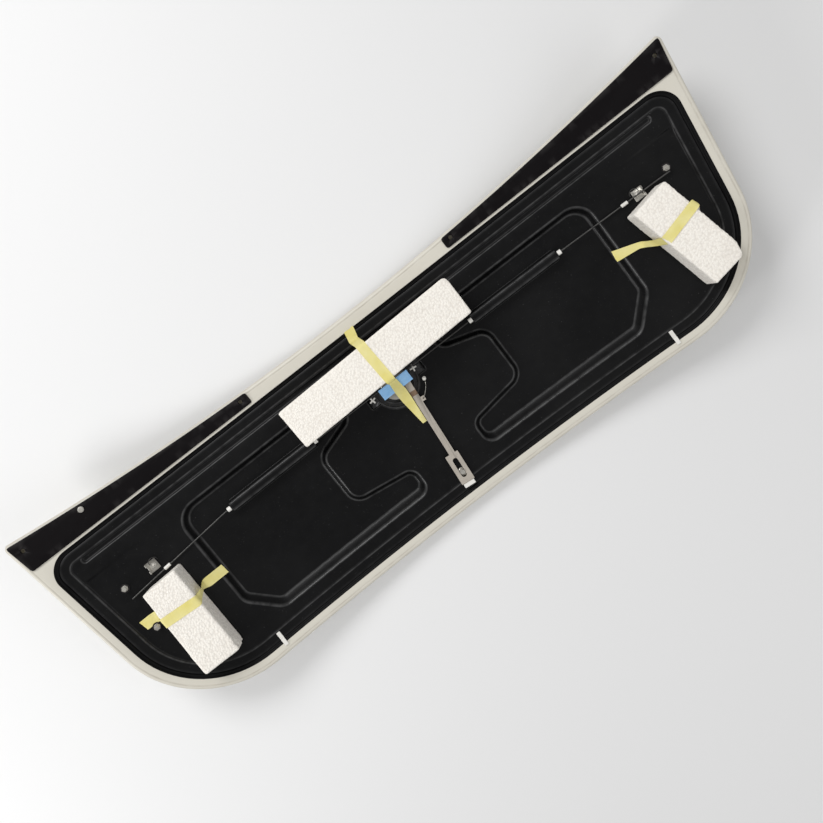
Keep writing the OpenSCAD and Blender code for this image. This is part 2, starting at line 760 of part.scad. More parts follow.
outer_skin();
inner_moulding();
edge_seal();
hinge_plate(-1);  // hinge_plate_left
hinge_plate(1);  // hinge_plate_right
drain_clip(-1);  // drain_clip_left
drain_clip(1);  // drain_clip_right
rod_cover(-1);  // rod_cover_left
rod_cover(1);  // rod_cover_right
rod_bush(-1, cover_start - bush_len / 2 - bush_gap(cover_start));  // rod_bush_left_inner
rod_bush(-1, cover_end + bush_len / 2 + bush_gap(cover_end));  // rod_bush_left_outer
rod_bush(1, cover_start - bush_len / 2 - bush_gap(cover_start));  // rod_bush_right_inner
rod_bush(1, cover_end + bush_len / 2 + bush_gap(cover_end));  // rod_bush_right_outer
rod_bracket(-1, rod_y + 6);  // rod_bracket_left
rod_bracket(1, rod_y - 2.5);  // rod_bracket_right
stud(-1, upper_stud_y);  // stud_left_upper
stud(-1, lower_stud_y);  // stud_left_lower
stud(1, upper_stud_y);  // stud_right_upper
stud(1, lower_stud_y);  // stud_right_lower
lock_housing();
handle_cup();
guide_screw();
spring_stud();
packing_block_centre();
packing_block_left();
packing_block_right();
tape_centre();
tape_left();
tape_right();
blue_pad();
turn_handle();
lock_cam();
bolt_arm();
bolt_tip();
pull_rod(-1, -1, left_bend);  // pull_rod_left
rod_ferrule(-1, ferrule_left_x, left_bend);  // rod_ferrule_left
pull_rod(1, 1, right_bend);  // pull_rod_right
rod_ferrule(1, ferrule_right_x, right_bend);  // rod_ferrule_right
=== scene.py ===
import json
import math
import bpy
import bmesh
import numpy as np
from mathutils import Matrix, Vector, geometry, noise

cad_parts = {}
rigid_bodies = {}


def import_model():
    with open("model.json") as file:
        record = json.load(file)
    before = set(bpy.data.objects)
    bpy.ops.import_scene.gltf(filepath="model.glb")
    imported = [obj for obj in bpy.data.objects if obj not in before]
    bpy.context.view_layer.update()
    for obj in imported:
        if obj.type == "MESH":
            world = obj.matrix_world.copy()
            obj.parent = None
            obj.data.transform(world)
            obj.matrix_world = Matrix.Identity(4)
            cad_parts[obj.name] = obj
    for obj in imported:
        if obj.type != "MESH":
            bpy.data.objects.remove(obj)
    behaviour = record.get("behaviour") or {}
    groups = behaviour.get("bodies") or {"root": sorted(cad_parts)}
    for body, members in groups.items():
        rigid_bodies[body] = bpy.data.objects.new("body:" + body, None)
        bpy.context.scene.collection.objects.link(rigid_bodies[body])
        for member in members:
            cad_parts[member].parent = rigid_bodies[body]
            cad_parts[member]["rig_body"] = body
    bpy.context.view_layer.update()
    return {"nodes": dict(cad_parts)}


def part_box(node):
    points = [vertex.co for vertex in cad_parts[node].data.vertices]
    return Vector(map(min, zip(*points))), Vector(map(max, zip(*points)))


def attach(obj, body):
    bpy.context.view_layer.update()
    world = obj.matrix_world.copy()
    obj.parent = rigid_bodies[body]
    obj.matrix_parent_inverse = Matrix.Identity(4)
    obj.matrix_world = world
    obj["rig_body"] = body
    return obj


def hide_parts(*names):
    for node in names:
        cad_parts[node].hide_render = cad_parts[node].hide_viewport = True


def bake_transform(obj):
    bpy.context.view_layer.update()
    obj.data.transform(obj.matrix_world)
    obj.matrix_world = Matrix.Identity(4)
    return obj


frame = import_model()
nodes = frame["nodes"]
MM = 0.001
SIDES = ((-1, "left"), (1, "right"))

# -------- camera, floor and light
# Camera that stands where the photograph was taken from
CAMERA_AT = Vector((54.5, 142.0, 1668.0)) * MM
CAMERA_TILT_X = 0.102
CAMERA_TILT_Y = -0.038
CAMERA_ROLL = math.atan2(0.6157, 0.788)
CAMERA_LENS = 36.0
FLOOR_HALF = 8.0
# Name, place and diameter in metres, power in watts
LAMPS = [("key", (-0.7, 2.4, 2.4), 1.6, 58), ("fill", (1.4, -1.9, 2.2), 2.4, 17),
         ("side", (-2.4, -0.3, 1.35), 0.7, 20)]
WORLD_STRENGTH = 0.42


def linked(name, data):
    obj = bpy.data.objects.new(name, data)
    bpy.context.scene.collection.objects.link(obj)
    return obj


def make_camera():
    """Camera looking down on the lid, rolled as in the photograph."""
    rows = Matrix.Rotation(CAMERA_TILT_X, 3, "X") @ Matrix.Rotation(CAMERA_TILT_Y, 3, "Y")
    c, s = math.cos(CAMERA_ROLL), math.sin(CAMERA_ROLL)
    turn = Matrix((rows[0] * c - rows[1] * s, rows[0] * s + rows[1] * c, rows[2])).transposed()
    data = bpy.data.cameras.new("camera")
    data.lens = CAMERA_LENS
    data.clip_end = 50
    cam = linked("camera", data)
    cam.matrix_world = Matrix.Translation(CAMERA_AT) @ turn.to_4x4()
    bpy.context.scene.camera = cam


def make_floor(mat):
    s = FLOOR_HALF
    mesh = bpy.data.meshes.new("floor")
    mesh.from_pydata([(-s, -s, 0), (s, -s, 0), (s, s, 0), (-s, s, 0)], [], [(0, 1, 2, 3)])
    mesh.materials.append(mat)
    linked("floor", mesh)


def make_lights():
    for name, at, size, power in LAMPS:
        data = bpy.data.lights.new(name, "AREA")
        data.shape = "DISK"
        data.size = size
        data.energy = power
        lamp = linked(name, data)
        lamp.location = at
        lamp.rotation_euler = (-Vector(at)).to_track_quat("-Z", "Y").to_euler()
    world = bpy.data.worlds.new("studio")
    world.use_nodes = True
    back = world.node_tree.nodes["Background"]
    back.inputs[0].default_value = (1, 1, 1, 1)
    back.inputs[1].default_value = WORLD_STRENGTH
    bpy.context.scene.world = world


# -------- materials
EDGE_GLOSS = -0.16


def feed(tree, sock, val):
    """Joins an input to another socket, or gives it a number, vector or colour."""
    if isinstance(val, bpy.types.NodeSocket):
        tree.links.new(val, sock)
    elif isinstance(val, tuple) and len(sock.default_value) == 4:
        sock.default_value = (*val, 1)
    else:
        sock.default_value = val


def add_node(tree, kind, **inputs):
    """Shader node with some of its inputs fed; a space in an input's name is written _."""
    node = tree.nodes.new("ShaderNode" + kind)
    for key, val in inputs.items():
        feed(tree, node.inputs[key.replace("_", " ")], val)
    return node


def new_material(name, colour, rough, metallic=0.0):
    mat = bpy.data.materials.new(name)
    mat.use_nodes = True
    tree = mat.node_tree
    bsdf = tree.nodes["Principled BSDF"]
    for key, val in (("Base Color", colour), ("Roughness", rough), ("Metallic", metallic)):
        feed(tree, bsdf.inputs[key], val)
    return mat, tree, bsdf, tree.nodes.new("ShaderNodeTexCoord")


def noisy(tree, coord, scale, detail=3.0, stretch=None):
    at = coord.outputs["Object"]
    if stretch:
        at = add_node(tree, "Mapping", Vector=at, Scale=stretch).outputs["Vector"]
    return add_node(tree, "TexNoise", Vector=at, Scale=scale, Detail=detail).outputs["Fac"]


def ramp(tree, value, stops):
    node = add_node(tree, "ValToRGB", Fac=value)
    for element, (pos, col) in zip(node.color_ramp.elements, stops):
        element.position = pos
        element.color = (*col, 1)
    return node.outputs["Color"]


def remap(tree, value, a, b, c, d):
    """Value with a to b stretched to c to d, and held there outside."""
    node = add_node(tree, "MapRange", Value=value, From_Min=a, From_Max=b, To_Min=c, To_Max=d)
    return node.outputs["Result"]


def mixed(tree, fac, a, b):
    node = tree.nodes.new("ShaderNodeMix")
    node.data_type = "RGBA"
    for k, val in ((0, fac), (6, a), (7, b)):
        feed(tree, node.inputs[k], val)
    return node.outputs[2]


def product(tree, a, b, plus=None):
    """a times b, with plus added where it is given."""
    node = tree.nodes.new("ShaderNodeMath")
    node.operation = "MULTIPLY" if plus is None else "MULTIPLY_ADD"
    for sock, val in zip(node.inputs, (a, b) if plus is None else (a, b, plus)):
        feed(tree, sock, val)
    return node.outputs[0]


def attribute(tree, name):
    node = tree.nodes.new("ShaderNodeAttribute")
    node.attribute_name = name
    return node.outputs["Fac"]


def dress(tree, bsdf, colour, bumps, rough=None):
    """Feeds a surface its colour, roughness and a chain of bumps, each (height, strength, distance)."""
    feed(tree, bsdf.inputs["Base Color"], colour)
    if rough is not None:
        feed(tree, bsdf.inputs["Roughness"], rough)
    last = None
    for height, strength, distance in bumps:
        node = add_node(tree, "Bump", Strength=strength, Distance=distance, Height=height)
        if last:
            feed(tree, node.inputs["Normal"], last)
        last = node.outputs["Normal"]
    feed(tree, bsdf.inputs["Normal"], last)


def scuffed_plastic(name, base, light, rough, grain, edge_highlight, dust):
    """Moulded plastic: grain, slow tone changes, dust, a painted highlight along the marked edges, and glossier
    edges.
    """
    mat, tree, bsdf, coord = new_material(name, base, rough)
    slow = noisy(tree, coord, 5.0, 5.0)
    fine = noisy(tree, coord, 60.0, 4.0)
    speck = noisy(tree, coord, 420.0, 2.0)
    edge = attribute(tree, "edge")
    dusted = tuple(0.55 * b + 0.45 * c for b, c in zip(base, light))
    col = mixed(tree, remap(tree, slow, 0.45, 0.75, 0.0, dust), base, dusted)
    col = mixed(tree, remap(tree, speck, 0.70, 0.78, 0.0, 0.25), col, light)
    # painted highlight: the marked edges are mixed toward the pale colour, more where the fine noise is high
    edge_highlight_and_shade = product(tree, edge, remap(tree, fine, 0.30, 0.62, 0.35 * edge_highlight, edge_highlight))
    matt = remap(tree, fine, 0.3, 0.7, rough - 0.06, rough + 0.08)
    bumps = [(noisy(tree, coord, grain, 2.0), 0.22, 0.0003), (fine, 0.06, 0.001)]
    dress(tree, bsdf, mixed(tree, edge_highlight_and_shade, col, light), bumps, product(tree, edge, EDGE_GLOSS, matt))
    return mat


def painted(name, base, rough, dirt_and_shade):
    """Smooth gel-coated face with faint orange peel, blotchy stains, and painted shade, partly soiling, along
    the marked edges.
    """
    mat, tree, bsdf, coord = new_material(name, base, rough)
    slow = noisy(tree, coord, 7.0, 6.0)
    col = mixed(tree, remap(tree, slow, 0.5, 0.85, 0.0, 0.22), base, dirt_and_shade)
    # painted shade, partly soiling: the marked edges and grooves are darkened toward the stain colour
    grime_and_shade = remap(tree, noisy(tree, coord, 35.0, 4.0), 0.35, 0.65, 0.15, 0.8)
    edge_highlight_and_shade = product(tree, attribute(tree, "edge"), grime_and_shade)
    bumps = [(noisy(tree, coord, 140.0, 2.0), 0.06, 0.001),
             (noisy(tree, coord, 700.0, 2.0), 0.05, 0.0002)]
    dress(tree, bsdf, mixed(tree, edge_highlight_and_shade, col, dirt_and_shade), bumps,
          remap(tree, slow, 0.3, 0.7, rough - 0.05, rough + 0.1))
    return mat


def metal(name, base, dark, rough, metallic=0.85):
    """Metal with cloudy stains and fine scratches across the lid."""
    mat, tree, bsdf, coord = new_material(name, base, rough, metallic)
    cloud = noisy(tree, coord, 55.0, 5.0)
    lines = noisy(tree, coord, 1.0, 3.0, (900.0, 60.0, 900.0))
    col = mixed(tree, remap(tree, cloud, 0.42, 0.72, 0.0, 0.7), base, dark)
    dress(tree, bsdf, col, [(lines, 0.12, 0.0002), (cloud, 0.08, 0.0004)],
          remap(tree, lines, 0.3, 0.7, rough - 0.08, rough + 0.14))
    return mat


def foam_beads(name, base, shade, bead):
    """Moulded polystyrene: round beads pressed against each other."""
    mat, tree, bsdf, coord = new_material(name, base, 0.8)
    cells = add_node(tree, "TexVoronoi", Vector=coord.outputs["Object"], Scale=1.0 / bead).outputs["Distance"]
    fine = noisy(tree, coord, 900.0, 2.0)
    slow = noisy(tree, coord, 18.0, 3.0)
    col = mixed(tree, remap(tree, cells, 0.40, 0.80, 0.0, 0.35), base, shade)
    col = mixed(tree, remap(tree, slow, 0.5, 0.75, 0.0, 0.2), col, shade)
    domes = remap(tree, cells, 0.0, 0.8, 1.0, 0.0)
    dress(tree, bsdf, col, [(domes, 0.75, 0.0013), (fine, 0.1, 0.0003)])
    bsdf.inputs["Subsurface Weight"].default_value = 0.15
    bsdf.inputs["Subsurface Radius"].default_value = (0.004, 0.004, 0.004)
    return mat


def tape_material():
    """Creped masking tape, thin enough for what is under it to show a little."""
    mat, tree, bsdf, coord = new_material("masking_tape", (0.88, 0.80, 0.36), 0.6)
    crepe = noisy(tree, coord, 1.0, 3.0, (500.0, 1600.0, 500.0))
    slow = noisy(tree, coord, 40.0, 3.0)
    wide = noisy(tree, coord, 12.0, 2.0)
    col = ramp(tree, slow, [(0.3, (0.93, 0.83, 0.27)), (0.7, (0.98, 0.90, 0.40))])
    col = mixed(tree, remap(tree, wide, 0.4, 0.7, 0.0, 0.35), col, (0.98, 0.92, 0.52))
    dress(tree, bsdf, col, [(crepe, 0.3, 0.0003), (slow, 0.1, 0.0008)])
    bsdf.inputs["Alpha"].default_value = 0.75
    return mat


def soft_foam(name, base, shade):
    mat, tree, bsdf, coord = new_material(name, base, 0.9)
    cells = noisy(tree, coord, 800.0, 3.0)
    slow = noisy(tree, coord, 70.0, 3.0)
    col = mixed(tree, remap(tree, slow, 0.35, 0.7, 0.0, 0.6), base, shade)
    dress(tree, bsdf, col, [(cells, 0.45, 0.0006)])
    bsdf.inputs["Sheen Weight"].default_value = 0.2
    return mat


def grey(level):
    return (level, level, level)


# For each plastic: name, base, pale colour, roughness, grain, painted edge highlight, dust
ABS_BLACK = scuffed_plastic("moulded_black", (0.0026, 0.0026, 0.0029), grey(0.20), 0.38, 900.0, 0.34, 0.04)
RUBBER = scuffed_plastic("sealing_rubber", (0.0015, 0.0015, 0.0017), grey(0.03), 0.45, 300.0, 0.3, 0.03)
PLATE_BLACK = scuffed_plastic("plate_black", (0.0028, 0.0018, 0.0024), (0.07, 0.065, 0.065),
                              0.5, 500.0, 0.5, 0.05)
LOCK_BLACK = scuffed_plastic("lock_black", (0.006, 0.006, 0.0065), grey(0.12), 0.38, 700.0, 0.5, 0.1)
HANDLE_GREY = scuffed_plastic("handle_grey", (0.014, 0.014, 0.015), grey(0.16), 0.4, 600.0, 0.5, 0.2)
for dark, level in ((ABS_BLACK, 0.17), (RUBBER, 0.1), (PLATE_BLACK, 0.11), (LOCK_BLACK, 0.3)):
    dark.node_tree.nodes["Principled BSDF"].inputs["Specular IOR Level"].default_value = level
# the last colour is that of the stains, and along the marked edges it paints shade
GEL_COAT = painted("gel_coat", (0.68, 0.65, 0.57), 0.33, (0.47, 0.43, 0.36))
WHITE_PART = scuffed_plastic("white_plastic", (0.82, 0.80, 0.75), (0.9, 0.89, 0.86), 0.4, 500.0, 0.3, 0.3)
ZINC = metal("zinc", (0.62, 0.60, 0.55), (0.26, 0.24, 0.21), 0.36)
STEEL = metal("bare_steel", (0.50, 0.455, 0.395), (0.42, 0.38, 0.33), 0.55, 0.35)
# darker, browner copy of the arm's steel: painted shade on the bend that faces away from the light
JOGGLE_SHADE = metal("painted_shade_steel", (0.26, 0.17, 0.11), (0.14, 0.09, 0.06), 0.5, 0.4)
WIRE = metal("dark_wire", (0.085, 0.083, 0.080), grey(0.03), 0.38, 0.7)
BRIGHT_WIRE = metal("bright_wire", (0.55, 0.53, 0.48), (0.32, 0.30, 0.27), 0.35)
EPS = foam_beads("polystyrene", (0.985, 0.935, 0.86), (0.62, 0.575, 0.52), 0.0044)
TAPE = tape_material()
BLUE = soft_foam("blue_foam", (0.29, 0.58, 0.98), (0.40, 0.68, 1.0))
FLOOR = new_material("floor", grey(0.84), 0.9)[0]

# -------- shape of the lid, in millimetres
HALF = 767.0
Y_LOW = -254.0
Y_TOP = 254.0
ARCH_DIP = 46.0
ARCH_R = (HALF * HALF + ARCH_DIP * ARCH_DIP) / (2 * ARCH_DIP)
SIDE_LEAN = 56.0
CORNER_R = 215.0
BOW_R = 2554.0
PANEL_H = 22.0
FLANGE_H = 26.0
FLANGE_W = 24.0
SKIN_T = 3.0
SEAL_W = 6.0
RIM_W = 20.0
HUB_Y = 37.0
ROD_Y = 46.0
ROD_H = 27.0
FRAME_PTS = [(-HALF + SIDE_LEAN, Y_LOW), (HALF - SIDE_LEAN, Y_LOW), (HALF, Y_TOP), (-HALF, Y_TOP)]
WINDOW_DROP = 77.0
WINDOW_R = 42.0
PANEL_TOP = Y_TOP - WINDOW_DROP - SEAL_W
POCKET_START = 560.0
POCKET_RUN = 185.0
POCKET_DROP = 9.0
POCKET_TOP = PANEL_TOP - 65.0


def bow_z(x, h=0.0):
    return BOW_R - math.sqrt((BOW_R - h) ** 2 - x * x)


def arch_y(x):
    return Y_TOP - ARCH_DIP + ARCH_R - math.sqrt(ARCH_R * ARCH_R - x * x)


POCKET_Z0 = bow_z(POCKET_START, PANEL_H)
POCKET_SLOPE = (bow_z(POCKET_START + POCKET_RUN, PANEL_H) - POCKET_DROP - POCKET_Z0) / POCKET_RUN
POCKET_TILT = math.atan(POCKET_SLOPE)


def smooth(t):
    t = min(max(t, 0.0), 1.0)
    return t * t * (3 - 2 * t)


def panel_z(x, y):
    """Top of the inner moulding between its features, with the flat end pockets."""
    z = bow_z(x, PANEL_H)
    ax = abs(x)
    if ax > POCKET_START:
        fall = z - (POCKET_Z0 + (ax - POCKET_START) * POCKET_SLOPE)
        z -= fall * smooth((POCKET_TOP + 2.5 - y) / 5.0)
    return z


def on_bow(x, y, h):
    """Point at height h along the bow's own normal."""
    a = math.asin(x / (BOW_R - PANEL_H))
    return Vector((x, y, bow_z(x, PANEL_H))) + Vector((-math.sin(a), 0, math.cos(a))) * (h - PANEL_H)


def bow_normal(x):
    return (on_bow(x, 0, 60) - on_bow(x, 0, 22)).normalized()


def on_pocket(side, x, y, z):
    """Point in the frame of an end pocket: x outwards, z off its floor."""
    c, s = math.cos(POCKET_TILT), math.sin(POCKET_TILT)
    p = Vector((POCKET_START + x * c, y, POCKET_Z0 + x * s)) + Vector((-s, 0, c)) * z
    return Vector((side * p.x, p.y, p.z))


def pocket_at(side, x, y, z):
    """The same, with x as a distance from the middle of the lid."""
    return on_pocket(side, (x - POCKET_START) / math.cos(POCKET_TILT), y, z)


def v2(p):
    return Vector((p[0], p[1]))


def moved_corner(a, b, c, d1, d2):
    """Corner b of a path, with the edge before it moved in by d1 and the one after it by d2."""
    a, b, c = v2(a), v2(b), v2(c)
    e1, e2 = (b - a).normalized(), (c - b).normalized()
    n1, n2 = Vector((-e1.y, e1.x)), Vector((-e2.y, e2.x))
    p1, p2 = b + n1 * d1, b + n2 * d2
    cross = e1.x * e2.y - e1.y * e2.x
    if abs(cross) < 1e-4:
        return p1
    w = p2 - p1
    return p1 + e1 * ((w.x * e2.y - w.y * e2.x) / cross)


def inset(pts, dist):
    n = len(pts)
    d = dist if isinstance(dist, (list, tuple)) else [dist] * n
    return [moved_corner(pts[i - 1], pts[i], pts[(i + 1) % n], d[i - 1], d[i]) for i in range(n)]


def rounded(pts, radii, steps):
    out = []
    n = len(pts)
    for i in range(n):
        a, b, c, r = v2(pts[i - 1]), v2(pts[i]), v2(pts[(i + 1) % n]), max(radii[i], 0.05)
        u, w = (a - b).normalized(), (c - b).normalized()
        half = math.acos(max(-1, min(1, u.dot(w)))) / 2
        mid = b + (u + w).normalized() * r / math.sin(half)
        p, q = b + u * r / math.tan(half) - mid, b + w * r / math.tan(half) - mid
        a0 = math.atan2(p.y, p.x)
        turn = (math.atan2(q.y, q.x) - a0 + 3 * math.pi) % (2 * math.pi) - math.pi
        out += [mid + r * Vector((math.cos(a0 + turn * k / steps), math.sin(a0 + turn * k / steps)))
                for k in range(steps + 1)]
    return out


def turns(n):
    """Angles of n points spread round a circle."""
    return np.linspace(0, 2 * math.pi, n + 1)[:-1]


def circle(r, n, cx=0.0, cy=HUB_Y):
    return [Vector((cx + r * math.cos(t), cy + r * math.sin(t))) for t in turns(n)]


def mirrored(loops):
    """Loops mirrored to the left half, still running anticlockwise."""
    return [[Vector((-p.x, p.y)) for p in reversed(loop)] for loop in loops]


def window_loop(gap):
    g = FLANGE_W + gap
    r = CORNER_R - g
    top_r = max(WINDOW_R - gap, 8.0)
    return rounded(inset(FRAME_PTS, [g, g, WINDOW_DROP + gap, g]), [r, r, top_r, top_r], 20)


def densify(loops, longest):
    """Adds points to matching closed loops where the first one has long edges."""
    n = len(loops[0])
    parts = [max(1, math.ceil((loops[0][(i + 1) % n] - loops[0][i]).length / longest)) for i in range(n)]
    return [[loop[i].lerp(loop[(i + 1) % n], k / parts[i]) for i in range(n) for k in range(parts[i])]
            for loop in loops]


def outline_loops(dists):
    """Loops inside the lid's own outline, which has an arched top edge."""
    pts = []
    for p in rounded(FRAME_PTS, [CORNER_R, CORNER_R, 12, 12], 20):
        if p.y > arch_y(p.x) - 0.01:
            p = Vector((p.x, arch_y(p.x)))
        if not pts or (p - pts[-1]).length > 0.4:
            pts.append(p)
    right = [k for k, p in enumerate(pts) if p.x > 700 and p.y > 200][-1]
    arch = [Vector((x, arch_y(x))) for x in np.linspace(pts[right].x, pts[(right + 1) % len(pts)].x, 90)[1:-1]]
    base = densify([pts[:right + 1] + arch + pts[right + 1:]], 14.0)[0]
    return [inset(base, d) for d in dists]


def inside(poly, pts):
    """Which points lie inside a closed polygon."""
    poly = np.array([(p[0], p[1]) for p in poly])
    x, y = pts[:, 0], pts[:, 1]
    x0, y0 = poly[:, 0], poly[:, 1]
    hit = np.zeros(len(pts), int)
    for a, b, c, d in zip(x0, y0, np.roll(x0, -1), np.roll(y0, -1)):
        if b != d:
            hit += ((b > y) != (d > y)) & (x < (c - a) * (y - b) / (d - b) + a)
    return hit % 2 == 1


def lifted(loop, h):
    return [(p[0], p[1], bow_z(p[0], h)) for p in loop]


def grid_points(x1, y0, y1, dx, dy):
    """Points dx and dy apart, from -x1 to x1 and from y0 to y1."""
    return [(x, y) for x in np.arange(-x1, x1 + 1, dx) for y in np.arange(y0, y1, dy)]


def finished(mesh, mats, sharp=None):
    """Gives a mesh its materials and smooth shading, with sharp edges over an angle."""
    mesh.materials.clear()
    for mat in mats:
        mesh.materials.append(mat)
    mesh.shade_smooth()
    if sharp:
        mesh.set_sharp_from_angle(angle=math.radians(sharp))


def settled(obj, body, slot, replaced=()):
    """Puts a piece on its body and in the place of CAD nodes, which it hides; slot is not used."""
    if body:
        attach(obj, body)
    if replaced:
        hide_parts(*replaced)
    return obj


class Shell:
    """Collects points and faces in millimetres, with a value that marks edges; the plastics paint a highlight
    there and the gel coat paints shade there.
    """

    def __init__(self):
        self.v, self.f, self.e = [], [], []

    def add(self, pts, edge=0.0):
        base = len(self.v)
        self.v += [tuple(p) for p in pts]
        self.e += [edge] * len(pts)
        return base

    def face(self, q, flip=False):
        self.f.append(q[::-1] if flip else q)

    def strip(self, rings, edges=None, flip=False):
        """Quads between closed rings that have as many points."""
        edges = edges or [0.0] * len(rings)
        n = len(rings[0])
        starts = [self.add(r, e) for r, e in zip(rings, edges)]
        for s, t in zip(starts, starts[1:]):
            for k in range(n):
                m = (k + 1) % n
                self.face((s + k, s + m, t + m, t + k), flip)

    def walls(self, loops, section, top=None):
        """Strip through loops; a row of section ends with height (or depth below top) and edge value."""
        rings = [lifted(l, row[-2] if top is None else top - row[-2]) for l, row in zip(loops, section)]
        self.strip(rings, [row[-1] for row in section])

    def cap(self, ring, flip=False):
        s = self.add(ring)
        self.face(tuple(range(s, s + len(ring))), flip)

    def fill(self, outer, holes, height, grid=(), lines=(), flip=False):
        """Triangulates a loop less its holes, at one height on the bow or at a function's heights."""
        if not callable(height):
            h = height

            def height(x, y):
                return bow_z(x, h)

        def kept(at):
            ok = inside(outer, at)
            for hole in holes:
                ok &= ~inside(hole, at)
            return ok
        pts, edges = [], []
        for line, closed in [(l, 1) for l in (outer, *holes)] + [(l, 0) for l in lines]:
            b, n = len(pts), len(line)
            pts += [v2(p) for p in line]
            edges += [(b + k, b + (k + 1) % n) for k in range(n - 1 + closed)]
        if len(grid):
            g = np.array([(p[0], p[1]) for p in grid], float)
            pts += [Vector(p) for p in g[kept(g)]]
        verts, _, tris, _, _, _ = geometry.delaunay_2d_cdt(pts, edges, [], 0, 1e-4)
        mid = np.array([[sum(verts[k].x for k in t) / 3, sum(verts[k].y for k in t) / 3] for t in tris])
        b = self.add([(v.x, v.y, height(v.x, v.y)) for v in verts])
        for t, keep in zip(tris, kept(mid)):
            if keep:
                up = (verts[t[1]] - verts[t[0]]).cross(verts[t[2]] - verts[t[0]]) > 0
                self.face(tuple(b + k for k in t), up == flip)

    def build(self, name, mat, slot, body="panel", sharp=40.0, weld=0.02, replaced=()):
        mesh = bpy.data.meshes.new(name)
        mesh.from_pydata([(x * MM, y * MM, z * MM) for x, y, z in self.v], [], self.f)
        marks = mesh.attributes.new("edge", "FLOAT", "POINT")
        marks.data.foreach_set("value", self.e)
        bm = bmesh.new()
        bm.from_mesh(mesh)
        bmesh.ops.remove_doubles(bm, verts=bm.verts, dist=weld * MM)
        bmesh.ops.delete(bm, geom=[v for v in bm.verts if not v.link_faces], context="VERTS")
        bm.to_mesh(mesh)
        bm.free()
        finished(mesh, [mat], sharp)
        return settled(linked(name, mesh), body, slot, replaced)


# -------- inner moulding
LOBE = [(75, -178), (446, -178), (501, -118), (501, 103), (112, 103), (112, 37), (206, 8), (206, -99),
        (75, -119)]
LOBE_R = [24, 30, 30, 42, 24, 30, 24, 24, 24]
LOBE_DRAFT = [15, 12, 9, 9, 9, 9, 9, 9, 9]
LOBE_CONCAVE = {6, 7}
LOBE_DEPTH = 15
# Rows of a wall: how far in, share of the draft, depth, edge value, which sets the painted highlight
LOBE_WALL = [(-3.2, 0, 0.0, 0.0), (-1.7, 0, 0.25, 0.7), (-0.4, 0.02, 0.9, 1.0), (0.5, 0.08, 2.2, 0.6),
             (0.2, 0.3, 5.0, 0.0), (0, 0.6, 9.4, 0.0), (-0.4, 0.9, 12.8, 0.0), (0.3, 1, 14.1, 0.4),
             (2.0, 1, 14.8, 0.85), (4.2, 1, LOBE_DEPTH, 0.0)]
# Rows of the others: how far in, depth or height, edge value, which sets the painted highlight
GROOVE_DEPTH = 4
GROOVE_WALL = [(-2.0, 0, 0), (-0.7, 0.3, 0.9), (0.4, 1.1, 0.8), (1.6, 2.8, 0), (3.0, 3.8, 0.3),
               (4.6, GROOVE_DEPTH, 0)]
DISH_DEPTH = 7
DISH_WALL = [(-1.6, 0, 0), (-0.4, 0.3, 0.9), (0.4, 1.2, 0.7), (0.8, 5.5, 0), (1.6, 6.6, 0.2),
             (3.2, DISH_DEPTH, 0)]
RIM = [(6.3, PANEL_H - 6, 0), (6.3, PANEL_H + 0.4, 0), (7.4, PANEL_H + 1.0, 0.2), (12, PANEL_H + 1.1, 0),
       (22.6, PANEL_H + 0.8, 0), (24.2, PANEL_H + 0.6, 0.7), (25.2, PANEL_H + 0.2, 0.9)]
# Rows from the rim to the panel: how far in, share of the panel's own height, edge value, which sets the
# painted highlight
RIM_FOOT = [(26.2, 0.55, 0.1), (27.2, 0.9, 0.25), (29, 1.0, 0)]
MOULDING_BASE = 3.6
BORE_R = 6
BORE_FLOOR = 11.5


def lobe_loops():
    loops = []
    for a, t, _, _ in LOBE_WALL:
        mean = a + t * 9
        radii = [r + mean if k in LOBE_CONCAVE else max(r - mean, 4) for k, r in enumerate(LOBE_R)]
        loops.append(rounded(inset(LOBE, [a + t * d for d in LOBE_DRAFT]), radii, 10))
    return densify(loops, 12.0)


def dish_loop(d):
    """Round dish of the lock with an ear to each side."""
    r, ear_half, ear_x, corner = 50.0 - d, 15.0 - d, 68.0 - d, 4

    def quarter(cx, cy, start):
        angles = [math.radians(start + 15 * k) for k in range(7)]
        return [(cx + corner * math.cos(a), cy + corner * math.sin(a)) for a in angles]

    def arc(a, b):
        return [(r * math.cos(t), r * math.sin(t)) for t in np.linspace(a, b, 33)]
    x, y = ear_x - corner, ear_half - corner
    a = math.asin(ear_half / r)
    pts = [(math.sqrt(r * r - ear_half * ear_half), -ear_half)] + quarter(x, -y, -90) + quarter(x, y, 0)
    pts += arc(a, math.pi - a) + quarter(-x, y, 90) + quarter(-x, -y, 180)
    pts += arc(math.pi + a, 2 * math.pi - a)[:-1]
    return [Vector((x, y + HUB_Y)) for x, y in pts]


def groove_loop(d):
    box = [(-678 + d, 136 + d), (678 - d, 136 + d), (678 - d, 149 - d), (-678 + d, 149 - d)]
    return rounded(box, [max(6.2 - d, 1.2)] * 4, 6)


